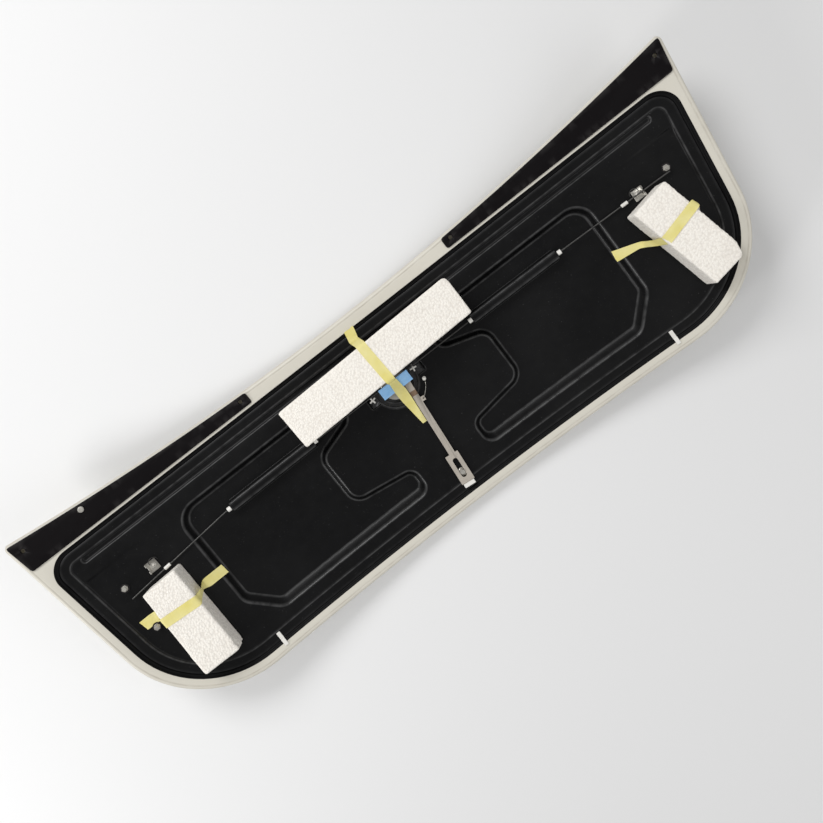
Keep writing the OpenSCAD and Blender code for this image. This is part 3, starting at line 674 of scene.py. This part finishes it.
def inner_moulding():
    shell = Shell()
    loops = densify([window_loop(row[0]) for row in RIM + RIM_FOOT], 12.0)
    rings = [lifted(l, h) for l, (_, h, _) in zip(loops, RIM)]
    for l, (_, w, _) in zip(loops[len(RIM):], RIM_FOOT):
        rings.append([(p.x, p.y, (1 - w) * bow_z(p.x, PANEL_H) + w * panel_z(p.x, p.y)) for p in l])
    shell.strip(rings, [e for _, _, e in RIM + RIM_FOOT])
    holes = []
    for side in (1, -1):
        lobe = lobe_loops() if side > 0 else mirrored(lobe_loops())
        shell.walls(lobe, LOBE_WALL, PANEL_H)
        holes.append(lobe[0])
        grid = [(x + side * 288, y) for x, y in grid_points(220, -170, 100, 14, 22) if x < 220]
        shell.fill(lobe[-1], [], PANEL_H - LOBE_DEPTH, grid)
    groove = densify([groove_loop(d) for d, _, _ in GROOVE_WALL], 12.0)
    shell.walls(groove, GROOVE_WALL, PANEL_H)
    shell.fill(groove[-1], [], PANEL_H - GROOVE_DEPTH)
    dish = [dish_loop(d) for d, _, _ in DISH_WALL]
    shell.walls(dish, DISH_WALL, PANEL_H)
    bore = circle(BORE_R, 24)
    shell.fill(dish[-1], [bore], PANEL_H - DISH_DEPTH)
    shell.strip([lifted(bore, PANEL_H - DISH_DEPTH), lifted(bore, BORE_FLOOR)])
    holes += [groove[0], dish[0]]
    # lines along the step at the top of each end pocket
    lines = [[(side * x, POCKET_TOP + dy) for x in np.arange(548, 694, 9)]
             for side in (-1, 1) for dy in (-4.5, -2.6, -1.2, 0, 1.2, 2.6, 4.5)]
    grid = [p for p in grid_points(700, -215, 150, 14, 26) if abs(p[1] - POCKET_TOP) > 7 or abs(p[0]) < 545]
    shell.fill(loops[-1], holes, panel_z, grid, lines)
    low = densify([window_loop(RIM[0][0])], 12.0)[0]
    shell.strip([lifted(low, MOULDING_BASE), lifted(low, RIM[0][1])])
    shell.fill(low, [], MOULDING_BASE, grid_points(700, -215, 150, 28, 90), flip=True)
    shell.build("moulding_look", ABS_BLACK, "moulding", replaced=["inner_moulding"], sharp=60)


def edge_seal():
    """Rubber bead that fills the gap between the skin and the moulding."""
    # Rows: how far in, height, edge value, which sets the painted highlight along the bead
    bead = [(0.2, 21.0, 0), (0.1, 25.0, 0), (-2.2, 26.05, 0), (-1.9, 26.4, 0.2), (0.0, 26.1, 0),
            (1.4, 24.9, 0), (2.2, 24.3, 0.2), (3.2, 24.6, 0.5), (4.4, 24.3, 0.3), (5.5, 23.5, 0),
            (6.2, 22.2, 0), (6.2, 20.5, 0)]
    loops = densify([window_loop(d) for d, _, _ in bead], 14.0)
    shell = Shell()
    shell.walls(loops + loops[:1], bead + bead[:1])
    shell.build("seal_look", RUBBER, "seal", replaced=["edge_seal"], sharp=75)


# -------- outer skin and hinge plates
PLATE_IN = 244
PLATE_X = [HALF - 27, PLATE_IN + 18]
PLATE_Y = [arch_y(PLATE_X[0]) - 25, arch_y(PLATE_X[1]) - 15]
PLATE_LOW = 26.3
PLATE_TOP = 29.3
HOLE_R = 5.0
HOLE_FLOOR = 9
CUP_R = 45.3
CUP_LIP_R = 47.0
CUP_LIP_H = 0.8
# Rows: how far in, height, edge value; on the gel coat the edge value paints shade, partly soiling, and on the
# plates a highlight
SKIN_EDGE = [(10, 0.0, 0), (7, 0.15, 0), (4.4, 0.9, 0), (2.2, 2.4, 0.1), (0.7, 5.0, 0.3), (0.05, 8.2, 0.3),
             (0.0, 13.0, 0.1), (0.05, 18.0, 0.2), (0.7, 21.2, 0.4), (2.0, 23.8, 0.4), (4.0, 25.4, 0.2),
             (6.4, 25.98, 0), (7.6, 25.9, 0.5), (8.6, 25.55, 0.9), (9.6, 25.5, 0.5), (10.4, 25.85, 0)]
SKIN_WINDOW = [(-2.2, FLANGE_H, 0), (-0.9, 25.6, 0.2), (-0.1, 24.5, 0.3), (0.0, 22.5, 0), (0.0, SKIN_T, 0)]
PLATE_EDGE = [(0, PLATE_LOW, 0), (0, 28.4, 0.3), (0.4, 29.0, 0.9), (1.1, PLATE_TOP, 0.5)]


def hole_points(side, k, r, h):
    """Circle round hinge hole k at height h; the hole runs square to the bow."""
    a = math.asin(PLATE_X[k] / (BOW_R - FLANGE_H))
    return circle(r, 24, (BOW_R - h) * math.sin(a) * side, PLATE_Y[k])


def outer_skin():
    shell = Shell()
    loops = outline_loops([d for d, _, _ in SKIN_EDGE])
    shell.walls(loops, SKIN_EDGE)
    cup, lip = circle(CUP_R, 64), circle(CUP_LIP_R, 64)
    shell.fill(loops[0], [lip], 0, grid_points(750, -245, 240, 16, 40), flip=True)
    shell.strip([lifted(lip, 0), lifted(cup, CUP_LIP_H), lifted(cup, SKIN_T)], flip=True)
    window = densify([window_loop(d) for d, _, _ in SKIN_WINDOW], 14.0)
    shell.walls(window, SKIN_WINDOW)
    holes = [window[0]]
    for side in (-1, 1):
        for k in (0, 1):
            top, low = [hole_points(side, k, HOLE_R, h) for h in (FLANGE_H, HOLE_FLOOR)]
            holes.append(top)
            shell.walls([top, low], [(FLANGE_H, 0.0), (HOLE_FLOOR, 0.0)])
            shell.cap(lifted(low, HOLE_FLOOR))
    shell.fill(loops[-1], holes, FLANGE_H, grid_points(750, 180, 250, 16, 12))
    shell.fill(window[-1], [lip], SKIN_T, grid_points(700, -215, 150, 30, 90))
    shell.build("skin_look", GEL_COAT, "skin", replaced=["outer_skin"], sharp=50)


def hinge_plate(side, word):
    inner_y = Y_TOP - WINDOW_DROP + 7
    lean = SIDE_LEAN * (Y_TOP - inner_y) / (Y_TOP - Y_LOW)
    top = [Vector((x, arch_y(x) - 5)) for x in np.linspace(HALF - 8, PLATE_IN, 40)]
    pts = [Vector((PLATE_IN, inner_y)), Vector((HALF - lean - 10, inner_y))] + top

    def outline(d):
        """Outline moved in by d, with its four corners eased."""
        ring = inset(pts, d)
        n = len(ring)
        out = []
        for k in range(n):
            if k in (0, 1, 2, n - 1):
                a, b, c = ring[k - 1], ring[k], ring[(k + 1) % n]
                r = min(5.0, (b - a).length * 0.45, (c - b).length * 0.45)
                u, w = (a - b).normalized() * r + b, (c - b).normalized() * r + b
                out += [u, u.lerp(b, 0.5).lerp(b.lerp(w, 0.5), 0.5), w]
            else:
                out.append(ring[k])
        return out
    loops = densify([outline(d) for d, _, _ in PLATE_EDGE], 14.0)
    if side < 0:
        loops = mirrored(loops)
    shell = Shell()
    shell.walls(loops, PLATE_EDGE)
    holes = []
    for k in (0, 1):
        wide, mid, bore = [hole_points(side, k, r, PLATE_TOP) for r in (5.2, 4.4, 4.0)]
        holes.append(wide)
        shell.walls([wide, mid, bore, bore], [(PLATE_TOP, 0.8), (28.7, 0.4), (28.2, 0), (PLATE_LOW, 0)])
    shell.fill(loops[-1], holes, PLATE_TOP, grid_points(760, 175, 250, 16, 12))
    shell.fill(loops[0], holes, PLATE_LOW, grid_points(760, 175, 250, 32, 30), flip=True)
    shell.build("plate_look_" + word, PLATE_BLACK, "black_plate", replaced=["hinge_plate_" + word], sharp=50)


# -------- rods, covers and small hard parts
ROD_R = 1.5
ROD_BEND_X = 418.0
COVER_BASE = 7.2


def add_tube(shell, path, radius, sides=12):
    """Round bar along a path, closed at both ends."""
    rings = []
    for k, p in enumerate(path):
        t = (path[min(k + 1, len(path) - 1)] - path[max(k - 1, 0)]).normalized()
        a = t.cross(Vector((0, 1, 0))).normalized()
        b = t.cross(a).normalized()
        rings.append([p + a * radius * math.cos(q) + b * radius * math.sin(q) for q in turns(sides)])
    shell.strip(rings)
    shell.cap(rings[0], flip=True)
    shell.cap(rings[-1])


def rod_points(side, x0, x1, bend, count):
    """Middle line of a pull rod, bent in plan by some degrees where it leaves its cover."""
    out = []
    c, s = math.cos(math.radians(bend)), math.sin(math.radians(bend))
    for x in np.linspace(x0, x1, count):
        z = bow_z(x, ROD_H)
        dx = max(x - ROD_BEND_X, 0.0)
        out.append(Vector((side * (x - dx + dx * c), ROD_Y - dx * s, z)))
    return out


def cad_copy(node, name, angle, width, segments, keep=None):
    """Copy of a CAD node's mesh, less the points that fail keep, with its hard edges rounded over."""
    mesh = nodes[node].data.copy()
    mesh.name = name
    bm = bmesh.new()
    bm.from_mesh(mesh)
    bmesh.ops.remove_doubles(bm, verts=bm.verts, dist=2e-6)
    bmesh.ops.dissolve_limit(bm, angle_limit=math.radians(2.0), verts=bm.verts, edges=bm.edges)
    if keep:
        bmesh.ops.delete(bm, geom=[v for v in bm.verts if not keep(v.co)], context="VERTS")
    hard = [e for e in bm.edges if len(e.link_faces) == 2 and e.calc_face_angle(0) > angle]
    bmesh.ops.bevel(bm, geom=hard, offset=width * MM, segments=segments, affect="EDGES", clamp_overlap=True)
    return mesh, bm


def softened(node, name, mat, slot, width, segments=2, second=None):
    """Copy of a hard part with softer edges, standing for it. second is (material, test)."""
    mesh, bm = cad_copy(node, name, math.radians(28.0), width, segments)
    mark = bm.verts.layers.float.new("edge")
    # the narrow bevel faces are marked as edges, which the plastic materials paint with a highlight
    for v in bm.verts:
        least = min((f.calc_area() for f in v.link_faces), default=1.0)
        v[mark] = 0.8 if least < 0.026 * width * MM else 0.0
    bm.to_mesh(mesh)
    bm.free()
    finished(mesh, [mat, second[0]] if second else [mat], 35.0)
    for face in mesh.polygons:
        face.material_index = 1 if second and second[1](face.center / MM) else 0
    settled(linked(name, mesh), nodes[node]["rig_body"], slot, [node])


def rod_cover(side, word):
    """Half-round cover with sloping ends over a pull rod."""
    # the last value of each row sets the painted highlight along the cover's base and crest fillets
    half = [(13.4, COVER_BASE, 0.5), (12.4, 7.7, 0.3), (11.6, 9.5, 0), (9.8, 25.4, 0), (9.2, 27.6, 0.6),
            (7.9, 29.1, 1.0), (6.0, 29.8, 0.4), (2.5, 30.1, 0)]
    section = half + [(-y, h, e) for y, h, e in reversed(half)]
    ends = [(199.8, 0.0), (200.2, 0.5), (201.4, 0.86), (204, 1.0)]
    stations = ends + [(x, 1.0) for x in np.linspace(212, 392, 15)]
    stations += [(604 - x, k) for x, k in reversed(ends)]
    rings = [[(side * x, ROD_Y + y * (0.93 + 0.07 * k),
               bow_z(x, COVER_BASE + (h - COVER_BASE) * (0.90 + 0.10 * k))) for y, h, _ in section]
             for x, k in stations]
    shell = Shell()
    shell.strip(rings, flip=side > 0)
    shell.e = [e for _ in rings for _, _, e in section]
    n, count = len(section), len(shell.v)
    shell.face(tuple(range(n)), side < 0)
    shell.face(tuple(range(count - n, count)), side > 0)
    shell.build("cover_look_" + word, ABS_BLACK, "moulding", replaced=["rod_cover_" + word], sharp=45)


def pull_rod(side, word, bend):
    """Round rod with its slotted eye plate."""
    shell = Shell()
    add_tube(shell, rod_points(side, 24, 651.5, bend, 70), ROD_R)
    shell.build("rod_wire_" + word, WIRE, "bare_steel", body="rod_" + word)
    mesh, bm = cad_copy("pull_rod_" + word, "rod_eye_" + word, 0.6, 0.25, 1, lambda p: abs(p.x) <= 0.035)
    bm.to_mesh(mesh)
    bm.free()
    finished(mesh, [STEEL], 30)
    settled(linked("rod_eye_" + word, mesh), "rod_" + word, "bare_steel", ["pull_rod_" + word])


# -------- packing
BLOCK_T = 50.0
BLOCK_LEAN = BLOCK_T * math.tan(POCKET_TILT)
CENTRE_H = bow_z(204, 31) + 0.3
CENTRE_PTS = [(-209, 49), (203, 60), (203, 141), (196, 146), (-211, 135)]
LEFT_X = HALF - 173
RIGHT_X = HALF - 155
LEFT_PTS = [(-39, -175), (40, -172), (36, 22), (-39, 24)]
RIGHT_PTS = [(-11, -175), (55, -160), (59, -132), (19, 37), (-59, 21)]
LEFT_LIFT = 0.6
RIGHT_LIFT = 3.8
# Bruised corners: row (0 low, 1 high), corner, offset from it, reach, depth
CENTRE_CHIPS = [(1, 0, (2, 1, 0), 5.0, 1.4), (1, 2, (0, -3, -3), 7.0, 2.0), (1, 1, (-60, 0, 0), 5.0, 1.2),
                (1, 4, (90, -2, 0), 5.0, 1.0)]
LEFT_CHIPS = [(1, 0, (0, 12, -6), 16.0, 3.0), (1, 1, (3, 3, 0), 6.0, 1.5), (0, 0, (0, 2, 8), 13.0, 4.0)]
RIGHT_CHIPS = [(1, 1, (-2, 2, 0), 8.0, 2.0), (0, 1, (0, 0, 8), 12.0, 3.0), (1, 4, (3, -2, 0), 6.0, 1.2)]


def foam_block(word, low, high, chips, seed):
    """Polystyrene block between two matching outlines, with beaded faces and bruised edges."""
    name = "block_look_" + word
    mesh = bpy.data.meshes.new(name)
    n = len(low)
    faces = [tuple(reversed(range(n))), tuple(range(n, 2 * n))]
    faces += [(k, (k + 1) % n, n + (k + 1) % n, n + k) for k in range(n)]
    mesh.from_pydata([tuple(p * MM) for p in low + high], [], faces)
    bm = bmesh.new()
    bm.from_mesh(mesh)
    bmesh.ops.recalc_face_normals(bm, faces=bm.faces)
    bmesh.ops.bevel(bm, geom=bm.edges[:], offset=1.3 * MM, segments=2, affect="EDGES")
    bm.to_mesh(mesh)
    bm.free()
    obj = linked(name, mesh)
    mod = obj.modifiers.new("remesh", "REMESH")
    mod.mode = "VOXEL"
    mod.voxel_size = 2.6 * MM
    mod.use_smooth_shade = True
    deps = bpy.context.evaluated_depsgraph_get()
    done = bpy.data.meshes.new_from_object(obj.evaluated_get(deps))
    obj.modifiers.clear()
    obj.data = done
    spots = [((low, high)[row][k] + Vector(off), r, depth) for row, k, off, r, depth in chips]
    bm = bmesh.new()
    bm.from_mesh(done)
    bm.normal_update()
    moves = []
    for v in bm.verts:
        p = v.co / MM
        cell = noise.voronoi(p * 0.24 + Vector((seed, 3.1 * seed, 0)))[0][0]
        d = -0.55 * max(0.0, cell - 0.28) + 0.22 * noise.noise(p * 0.05 + Vector((seed, 0, 0)))
        for centre, r, depth in spots:
            k = (p - centre).length / r
            if k < 1:
                d -= depth * smooth(1 - k) * (0.7 + 0.6 * noise.noise(p * 0.3))
        moves.append(v.normal * d * MM)
    for v, m in zip(bm.verts, moves):
        v.co += m
    bm.to_mesh(done)
    bm.free()
    finished(done, [EPS])
    settled(obj, "panel", "foam", ["packing_block_" + word])


def rim_gap(p):
    """How far a point must rise to lie on the rim instead of in it."""
    ring = [(q.x, q.y) for q in window_loop(SEAL_W + RIM_W + 0.5)]
    if inside(ring, np.array([[p.x, p.y]]))[0]:
        return 0.0
    return max(0.0, bow_z(p.x, PANEL_H + 1.6) - p.z)


def packing_blocks():
    low = [Vector((x, y, CENTRE_H)) for x, y in CENTRE_PTS]
    high = [Vector((x, y, CENTRE_H + BLOCK_T)) for x, y in CENTRE_PTS]
    foam_block("centre", low, high, CENTRE_CHIPS, 1.0)
    for side, word, x0, pts, lift, chips, seed in (
            (-1, "left", LEFT_X, LEFT_PTS, LEFT_LIFT, LEFT_CHIPS, 5.0),
            (1, "right", RIGHT_X, RIGHT_PTS, RIGHT_LIFT, RIGHT_CHIPS, 9.0)):
        base = (x0 - POCKET_START) / math.cos(POCKET_TILT)
        high = [on_pocket(side, base + x, y, lift + BLOCK_T - 0.3) for x, y in pts]
        low = [on_pocket(side, base + x - BLOCK_LEAN, y, lift) for x, y in pts]
        for p in low:
            p.z += rim_gap(p)
        foam_block(word, low, high, chips, seed)


def tape(word, stations, seed, step=2.5, across=8, thick=0.18):
    """Strip of tape through stations given as (one edge, other edge)."""
    ends = [(Vector(a), Vector(b)) for a, b in stations]
    rows = []
    for (a, b), (c, d) in zip(ends, ends[1:]):
        m = max(1, round(((a - c).length + (b - d).length) / 2 / step))
        rows += [(a.lerp(c, j / m), b.lerp(d, j / m)) for j in range(m)]
    rows.append(ends[-1])
    # the corners are eased so that the tape bends over them
    for _ in range(2):
        eased = [tuple(b * 0.5 + (a + c) * 0.25 for a, b, c in zip(*rows[k - 1:k + 2]))
                 for k in range(1, len(rows) - 1)]
        rows = [rows[0], *eased, rows[-1]]
    grid = []
    for k, (a, b) in enumerate(rows):
        before, after = rows[max(k - 1, 0)], rows[min(k + 1, len(rows) - 1)]
        n = (after[0] + after[1] - before[0] - before[1]).cross(b - a).normalized()
        if n.z < 0:
            n = -n
        line = []
        for j in range(across + 1):
            u = j / across
            p = a.lerp(b, u)
            q = p * 0.08 + Vector((seed, 0, 0))
            lift = 0.35 + 0.5 * noise.noise(q) + 0.25 * noise.noise(q * 3)
            curl = 0.5 * max(0.0, abs(u - 0.5) * 2 - 0.7) * (1 + noise.noise(p * 0.1))
            line.append(p + n * max(0.1, lift + curl))
        grid.append(line)
    # ends torn by hand
    for line, other in ((grid[0], grid[1]), (grid[-1], grid[-2])):
        for j in range(len(line)):
            line[j] = line[j] + (line[j] - other[j]).normalized() * (1.2 * noise.noise(line[j] * 0.35))
    shell = Shell()
    top = [shell.add(line) for line in grid]
    low = [shell.add([p - Vector((0, 0, thick)) for p in line]) for line in grid]
    for k in range(len(grid) - 1):
        for j in range(across):
            shell.face((top[k] + j, top[k] + j + 1, top[k + 1] + j + 1, top[k + 1] + j))
            shell.face((low[k] + j, low[k + 1] + j, low[k + 1] + j + 1, low[k] + j + 1))
        for j, flip in ((0, False), (across, True)):
            shell.face((top[k] + j, top[k + 1] + j, low[k + 1] + j, low[k] + j), flip)
    shell.build("tape_look_" + word, TAPE, "tape", replaced=["tape_" + word], sharp=80, weld=0.001)


def pairs(place, rows):
    """Stations from rows of x, y, z for one edge and x, y, z for the other, in the frame of place."""
    return [(place(*row[:3]), place(*row[3:])) for row in rows]


def tapes():
    # centre: from the flange over the block and the blue pad to the panel; rows are x, x, y, z, z
    top = CENTRE_H + BLOCK_T + 0.4
    pad = 44.6
    rows = [(-17, 5, 180.5, 26.5, 26.5), (-19, 3, 171, 25.6, 25.6), (-22, -1, 157, 23.8, 23.8),
            (-14.5, 5.8, 142.5, top - 2, top - 2), (-14.5, 5.7, 137.5, top, top), (-10.5, 9.5, 55, top, top),
            (-9.5, 8.8, 49, top - 3, top - 3), (-8.5, 9, 47, pad + 1, pad + 1), (-10, 11, 26, pad, pad),
            (-10.5, 12, 20.5, pad - 3, pad - 3), (-10, 11, 0, 36.5, 37.2), (-7.5, 8.0, -28, 27.2, 29),
            (-4.4, 5.0, -60, 22.6, 23)]
    tape("centre", [((a, y, p), (b, y, q)) for a, b, y, p, q in rows], 2.0)

    # left: from the pocket floor over the block and down to the panel
    base = (LEFT_X - POCKET_START) / math.cos(POCKET_TILT)
    t = BLOCK_T + 0.7
    st = pairs(lambda x, y, z: pocket_at(-1, x, y, z),
               [(672, -18, 0.5, 668, -39, 0.5), (651, -18, 0.6, 651, -40, 0.6), (627, -20, 0.7, 627, -42, 0.7)])
    st += pairs(lambda x, y, z: on_pocket(-1, base + x, y, z),
                [(29.5, -22, 1.6, 29.5, -43, 1.6), (31.6, -26, 14, 31.6, -47, 14),
                 (36.2, -31, 34, 36.2, -52, 34), (39.4, -33, t - 1, 39.4, -54, t - 1),
                 (37, -33.5, t, 37, -54.5, t), (-37, -40, t, -37, -61, t),
                 (-39.8, -40.5, t - 1.5, -39.8, -60.5, t - 1.5), (-41.8, -40, t - 9, -41.8, -56, t - 9)])
    # it twists where it hangs free between the block and the panel
    mid, turn = on_bow(-541, -41, 47), Vector((3.55, 4.1, 9.25))
    st += [(mid + turn, mid - turn)]
    st += pairs(on_bow, [(-536, -31, 24.5, -537, -48, 24.0), (-529, -30, 22.5, -529, -51, 22.5),
                         (-489, -30.5, 22.5, -487, -51, 22.5)])
    tape("left", st, 7.0)

    # right: from the block's outer side over its top and down to the panel
    base = (RIGHT_X - POCKET_START) / math.cos(POCKET_TILT)
    t = BLOCK_T + RIGHT_LIFT + 0.5
    st = pairs(lambda x, y, z: on_pocket(1, base + x, y, z),
               [(40, -26, t - 7, 42, -31, t - 7), (37, -20, t - 1.5, 43, -38, t - 1.5),
                (34, -21, t, 40, -39, t), (-39, -43, t, -32, -62, t),
                (-42.5, -44, t - 1.5, -36.5, -63, t - 1.5), (-56, -41, 26, -50, -58, 28)])
    st += pairs(on_bow, [(541, -32, 24.0, 541, -46, 24.6), (533, -29, 22.6, 533, -42, 22.8),
                         (488, -14, 22.5, 486, -37, 22.5)])
    tape("right", st, 11.0)


def blue_pad():
    """Thin foam sheet with soft edges and an uneven top."""
    lo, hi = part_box("blue_pad")
    size = hi - lo
    mesh = bpy.data.meshes.new("pad_look")
    bm = bmesh.new()
    bmesh.ops.create_grid(bm, x_segments=36, y_segments=12, size=0.5)
    ext = bmesh.ops.extrude_face_region(bm, geom=bm.faces[:])
    for v in ext["geom"]:
        if isinstance(v, bmesh.types.BMVert):
            v.co.z = 1.0
    for v in bm.verts:
        x, y, z = v.co
        wob = 0.4 * MM * noise.noise(Vector((x * 9, y * 5, z)))
        edge = min(0.5 - abs(x), (0.5 - abs(y)) * size.y / size.x) * size.x
        drop = 0.8 * MM * (1 - smooth(edge / (2.0 * MM)))
        zz = size.z * z + (wob - drop if z > 0.5 else -wob * 0.3 + drop * 0.6)
        v.co = Vector(((lo.x + hi.x) / 2 + x * size.x, (lo.y + hi.y) / 2 + y * size.y, lo.z + zz))
    bmesh.ops.recalc_face_normals(bm, faces=bm.faces)
    bm.to_mesh(mesh)
    bm.free()
    finished(mesh, [BLUE], 60)
    settled(linked("pad_look", mesh), "panel", "blue_foam", ["blue_pad"])


# -------- lock details
ARM_LEAN = math.radians(5.5)
FORK_X = 20.0
ARM_TOP = 31.2
# span of the bend along the arm, which takes the painted shade
JOGGLE_FROM, JOGGLE_TO = -41.5, -29
STUD_X = HALF - 115
BRACKET_X = HALF - 181
# Turned profiles: radius, height
CLIP_PIN = [(3.0, 0.2), (3.0, 7.5), (2.2, 10.4), (1.6, 11.0)]
BALL_STUD = [(4.0, 0.0), (4.0, 2.0), (2.3, 3.2), (2.0, 7.0), (3.0, 8.0), (3.7, 9.6), (3.7, 11.4), (3.1, 13.0),
             (1.9, 14.2), (0.9, 14.6)]
CLAW_RIVET = [(2.4, 0.0), (2.4, 1.0), (1.7, 1.6), (0.7, 1.8)]
PLATE_STUD = [(6.0, 0.0), (6.0, 1.2), (5.4, 1.9), (3.4, 2.2), (3.0, 1.6)]
CLAW = [(-9, -2), (-4, -5), (5, -5), (9, -9), (11, -6), (8, -1), (8, 4), (3, 7), (-5, 6), (-9, 3)]


def in_arm_frame(x, y, z):
    c, s = math.cos(ARM_LEAN), math.sin(ARM_LEAN)
    return Vector((FORK_X + x * c + y * s, HUB_Y - x * s + y * c, z))


def along_arm(p):
    return (p.x - FORK_X) * math.sin(ARM_LEAN) + (p.y - HUB_Y) * math.cos(ARM_LEAN)


def lathe(shell, at, normal, profile, sides=20, edges=None):
    """Turned part: profile of (radius, height) about a point and direction."""
    a = normal.cross(Vector((0, 1, 0))).normalized()
    b = normal.cross(a).normalized()
    rings = [[at + normal * h + a * r * math.cos(t) + b * r * math.sin(t) for t in turns(sides)]
             for r, h in profile]
    shell.strip(rings, edges)
    shell.cap(rings[0], flip=True)
    shell.cap(rings[-1])


def dish_clips():
    """White clip in each ear of the dish: a cross with a pin in its middle."""
    for word, cx, cy, turn in (("left", -56.0, 39.0, 12.0), ("right", 48.0, 41.0, -8.0)):
        shell = Shell()
        z = bow_z(cx, PANEL_H - DISH_DEPTH)
        c, s = math.cos(math.radians(turn)), math.sin(math.radians(turn))
        for w, l in ((7.5, 1.7), (1.7, 7.5)):
            bar = [(-w, -l), (w, -l), (w, l), (-w, l)]
            rings = [[(cx + p.x * c - p.y * s, cy + p.x * s + p.y * c, z + h)
                      for p in rounded(inset(bar, d), [1.0] * 4, 4)]
                     for d, h in ((0, 5.6), (0, 9.2), (0.5, 9.8))]
            shell.strip(rings, [0, 0.4, 0.8])
            shell.cap(rings[-1])
            shell.cap(rings[0], flip=True)
        lathe(shell, Vector((cx, cy, z)), Vector((0, 0, 1)), CLIP_PIN, 16)
        shell.build("dish_clip_" + word, WHITE_PART, "white_plastic")


def stud_and_spring():
    """Stud with a ball head, and the light spring from it to the ear of the arm."""
    n = bow_normal(53)
    foot = on_bow(53, HUB_Y - 26, PANEL_H + 0.3)
    shell = Shell()
    lathe(shell, foot, n, BALL_STUD, 24)
    shell.build("spring_stud_look", WHITE_PART, "white_plastic", sharp=50, replaced=["spring_stud"])
    start, end = foot + n * 7.4, in_arm_frame(14.0, -55.0, ARM_TOP + 0.6)
    path = []
    for t in np.linspace(0, 1, 60):
        p = start.lerp(end, t) + Vector((5.5, 1.5, 3.0)) * math.sin(math.pi * t)
        coil = min(max((t - 0.12) / 0.06, 0), 1) * min(max((0.62 - t) / 0.06, 0), 1)
        a = 2 * math.pi * 14 * t
        around = Vector((0.79, -0.61, 0)) * math.cos(a) + Vector((0, 0, 1)) * math.sin(a)
        path.append(p + around * 0.55 * coil)
    shell = Shell()
    add_tube(shell, path, 0.55, 8)
    spring = shell.build("return_spring", BRIGHT_WIRE, "zinc_steel", body=None, sharp=60)
    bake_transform(spring)


def bracket_details():
    """Claw and wire loop on each rod bracket."""
    for side, word, y0 in ((-1, "left", ROD_Y + 6), (1, "right", ROD_Y - 2.5)):
        shell = Shell()
        rings = [[pocket_at(side, BRACKET_X + p.x * 0.75, y0 + p.y * 0.8, h)
                  for p in rounded(inset(CLAW, d), [1.0] * 10, 3)] for d, h in ((0, 2.4), (0, 4.2), (0.5, 4.6))]
        shell.strip(rings, [0, 0.3, 0.8], flip=side < 0)
        shell.cap(rings[0], flip=side > 0)
        shell.cap(rings[-1], flip=side < 0)
        lathe(shell, pocket_at(side, BRACKET_X - 2, y0 + 1, 4.4), bow_normal(side * BRACKET_X), CLAW_RIVET, 16)
        shell.build("bracket_claw_" + word, ZINC, "zinc_steel")
        shell = Shell()
        loop = [pocket_at(side, BRACKET_X - 5 + 8.5 * math.cos(t), y0 + 7 + 7 * math.sin(t),
                          3.0 + 2.2 * (1 + math.cos(t))) for t in np.linspace(-0.4, math.pi + 0.3, 28)]
        add_tube(shell, loop, 0.7, 8)
        shell.build("bracket_loop_" + word, WIRE, "zinc_steel", sharp=60)


def plate_stud():
    """Grey stud on the left hinge plate."""
    x = -619.5
    shell = Shell()
    lathe(shell, on_bow(x, 222, PLATE_TOP + 0.2), bow_normal(x), PLATE_STUD, 24, [0, 0.3, 0.8, 0.2, 0])
    shell.build("plate_stud", ZINC, "zinc_steel")


def stud_core(side, y):
    """Test that is true for the bright nut and pin of a stud, false for its dark washer."""
    at = pocket_at(side, STUD_X, y, 0)
    axis = (pocket_at(side, STUD_X, y, 10) - at).normalized()

    def test(p):
        d = p - at
        h = d.dot(axis)
        return (d - axis * h).length < 6.9 and h > 2.3
    return test


# -------- making
ROD_BEND = {"left": 4.8, "right": 0.9}
STUD_Y = {"upper": ROD_Y + 5, "lower": ROD_Y - 92}
# Node, piece and the end of both names, material, slot, width of the softened edges
PAIRED = [("drain_clip", "clip_look", "", WHITE_PART, "white_plastic", 0.4),
          ("rod_bush", "bush_look", "_inner", WHITE_PART, "white_plastic", 0.5),
          ("rod_bush", "bush_look", "_outer", WHITE_PART, "white_plastic", 0.5),
          ("rod_ferrule", "ferrule_look", "", WHITE_PART, "white_plastic", 0.4),
          ("rod_bracket", "bracket_look", "", ZINC, "zinc_steel", 0.35)]

make_camera()
make_floor(FLOOR)
make_lights()
inner_moulding()
edge_seal()
outer_skin()
for side, word in SIDES:
    hinge_plate(side, word)
    rod_cover(side, word)
    pull_rod(side, word, ROD_BEND[word])
packing_blocks()
tapes()
blue_pad()
for side, word in SIDES:
    for node, piece, end, mat, slot, width in PAIRED:
        softened(f"{node}_{word}{end}", f"{piece}_{word}{end}", mat, slot, width)
    for level, y in STUD_Y.items():
        softened(f"stud_{word}_{level}", f"stud_look_{word}_{level}", PLATE_BLACK, "zinc_steel", 0.35,
                 second=(ZINC, stud_core(side, y)))
softened("lock_housing", "housing_look", LOCK_BLACK, "black_plastic", 0.5)
softened("handle_cup", "cup_look", LOCK_BLACK, "black_plastic", 0.5)
softened("turn_handle", "handle_look", HANDLE_GREY, "handle_plastic", 0.9, segments=3)
softened("lock_cam", "cam_look", ZINC, "zinc_steel", 0.3)
softened("guide_screw", "guide_look", ZINC, "zinc_steel", 0.4)
# the bend of the arm gets the darker steel: painted shade
softened("bolt_arm", "arm_look", STEEL, "bare_steel", 0.3,
         second=(JOGGLE_SHADE, lambda p: JOGGLE_FROM < along_arm(p) < JOGGLE_TO))
softened("bolt_tip", "tip_look", WHITE_PART, "white_plastic", 1.2, segments=3)
dish_clips()
stud_and_spring()
bracket_details()
plate_stud()
bpy.context.scene.view_settings.view_transform = "Standard"
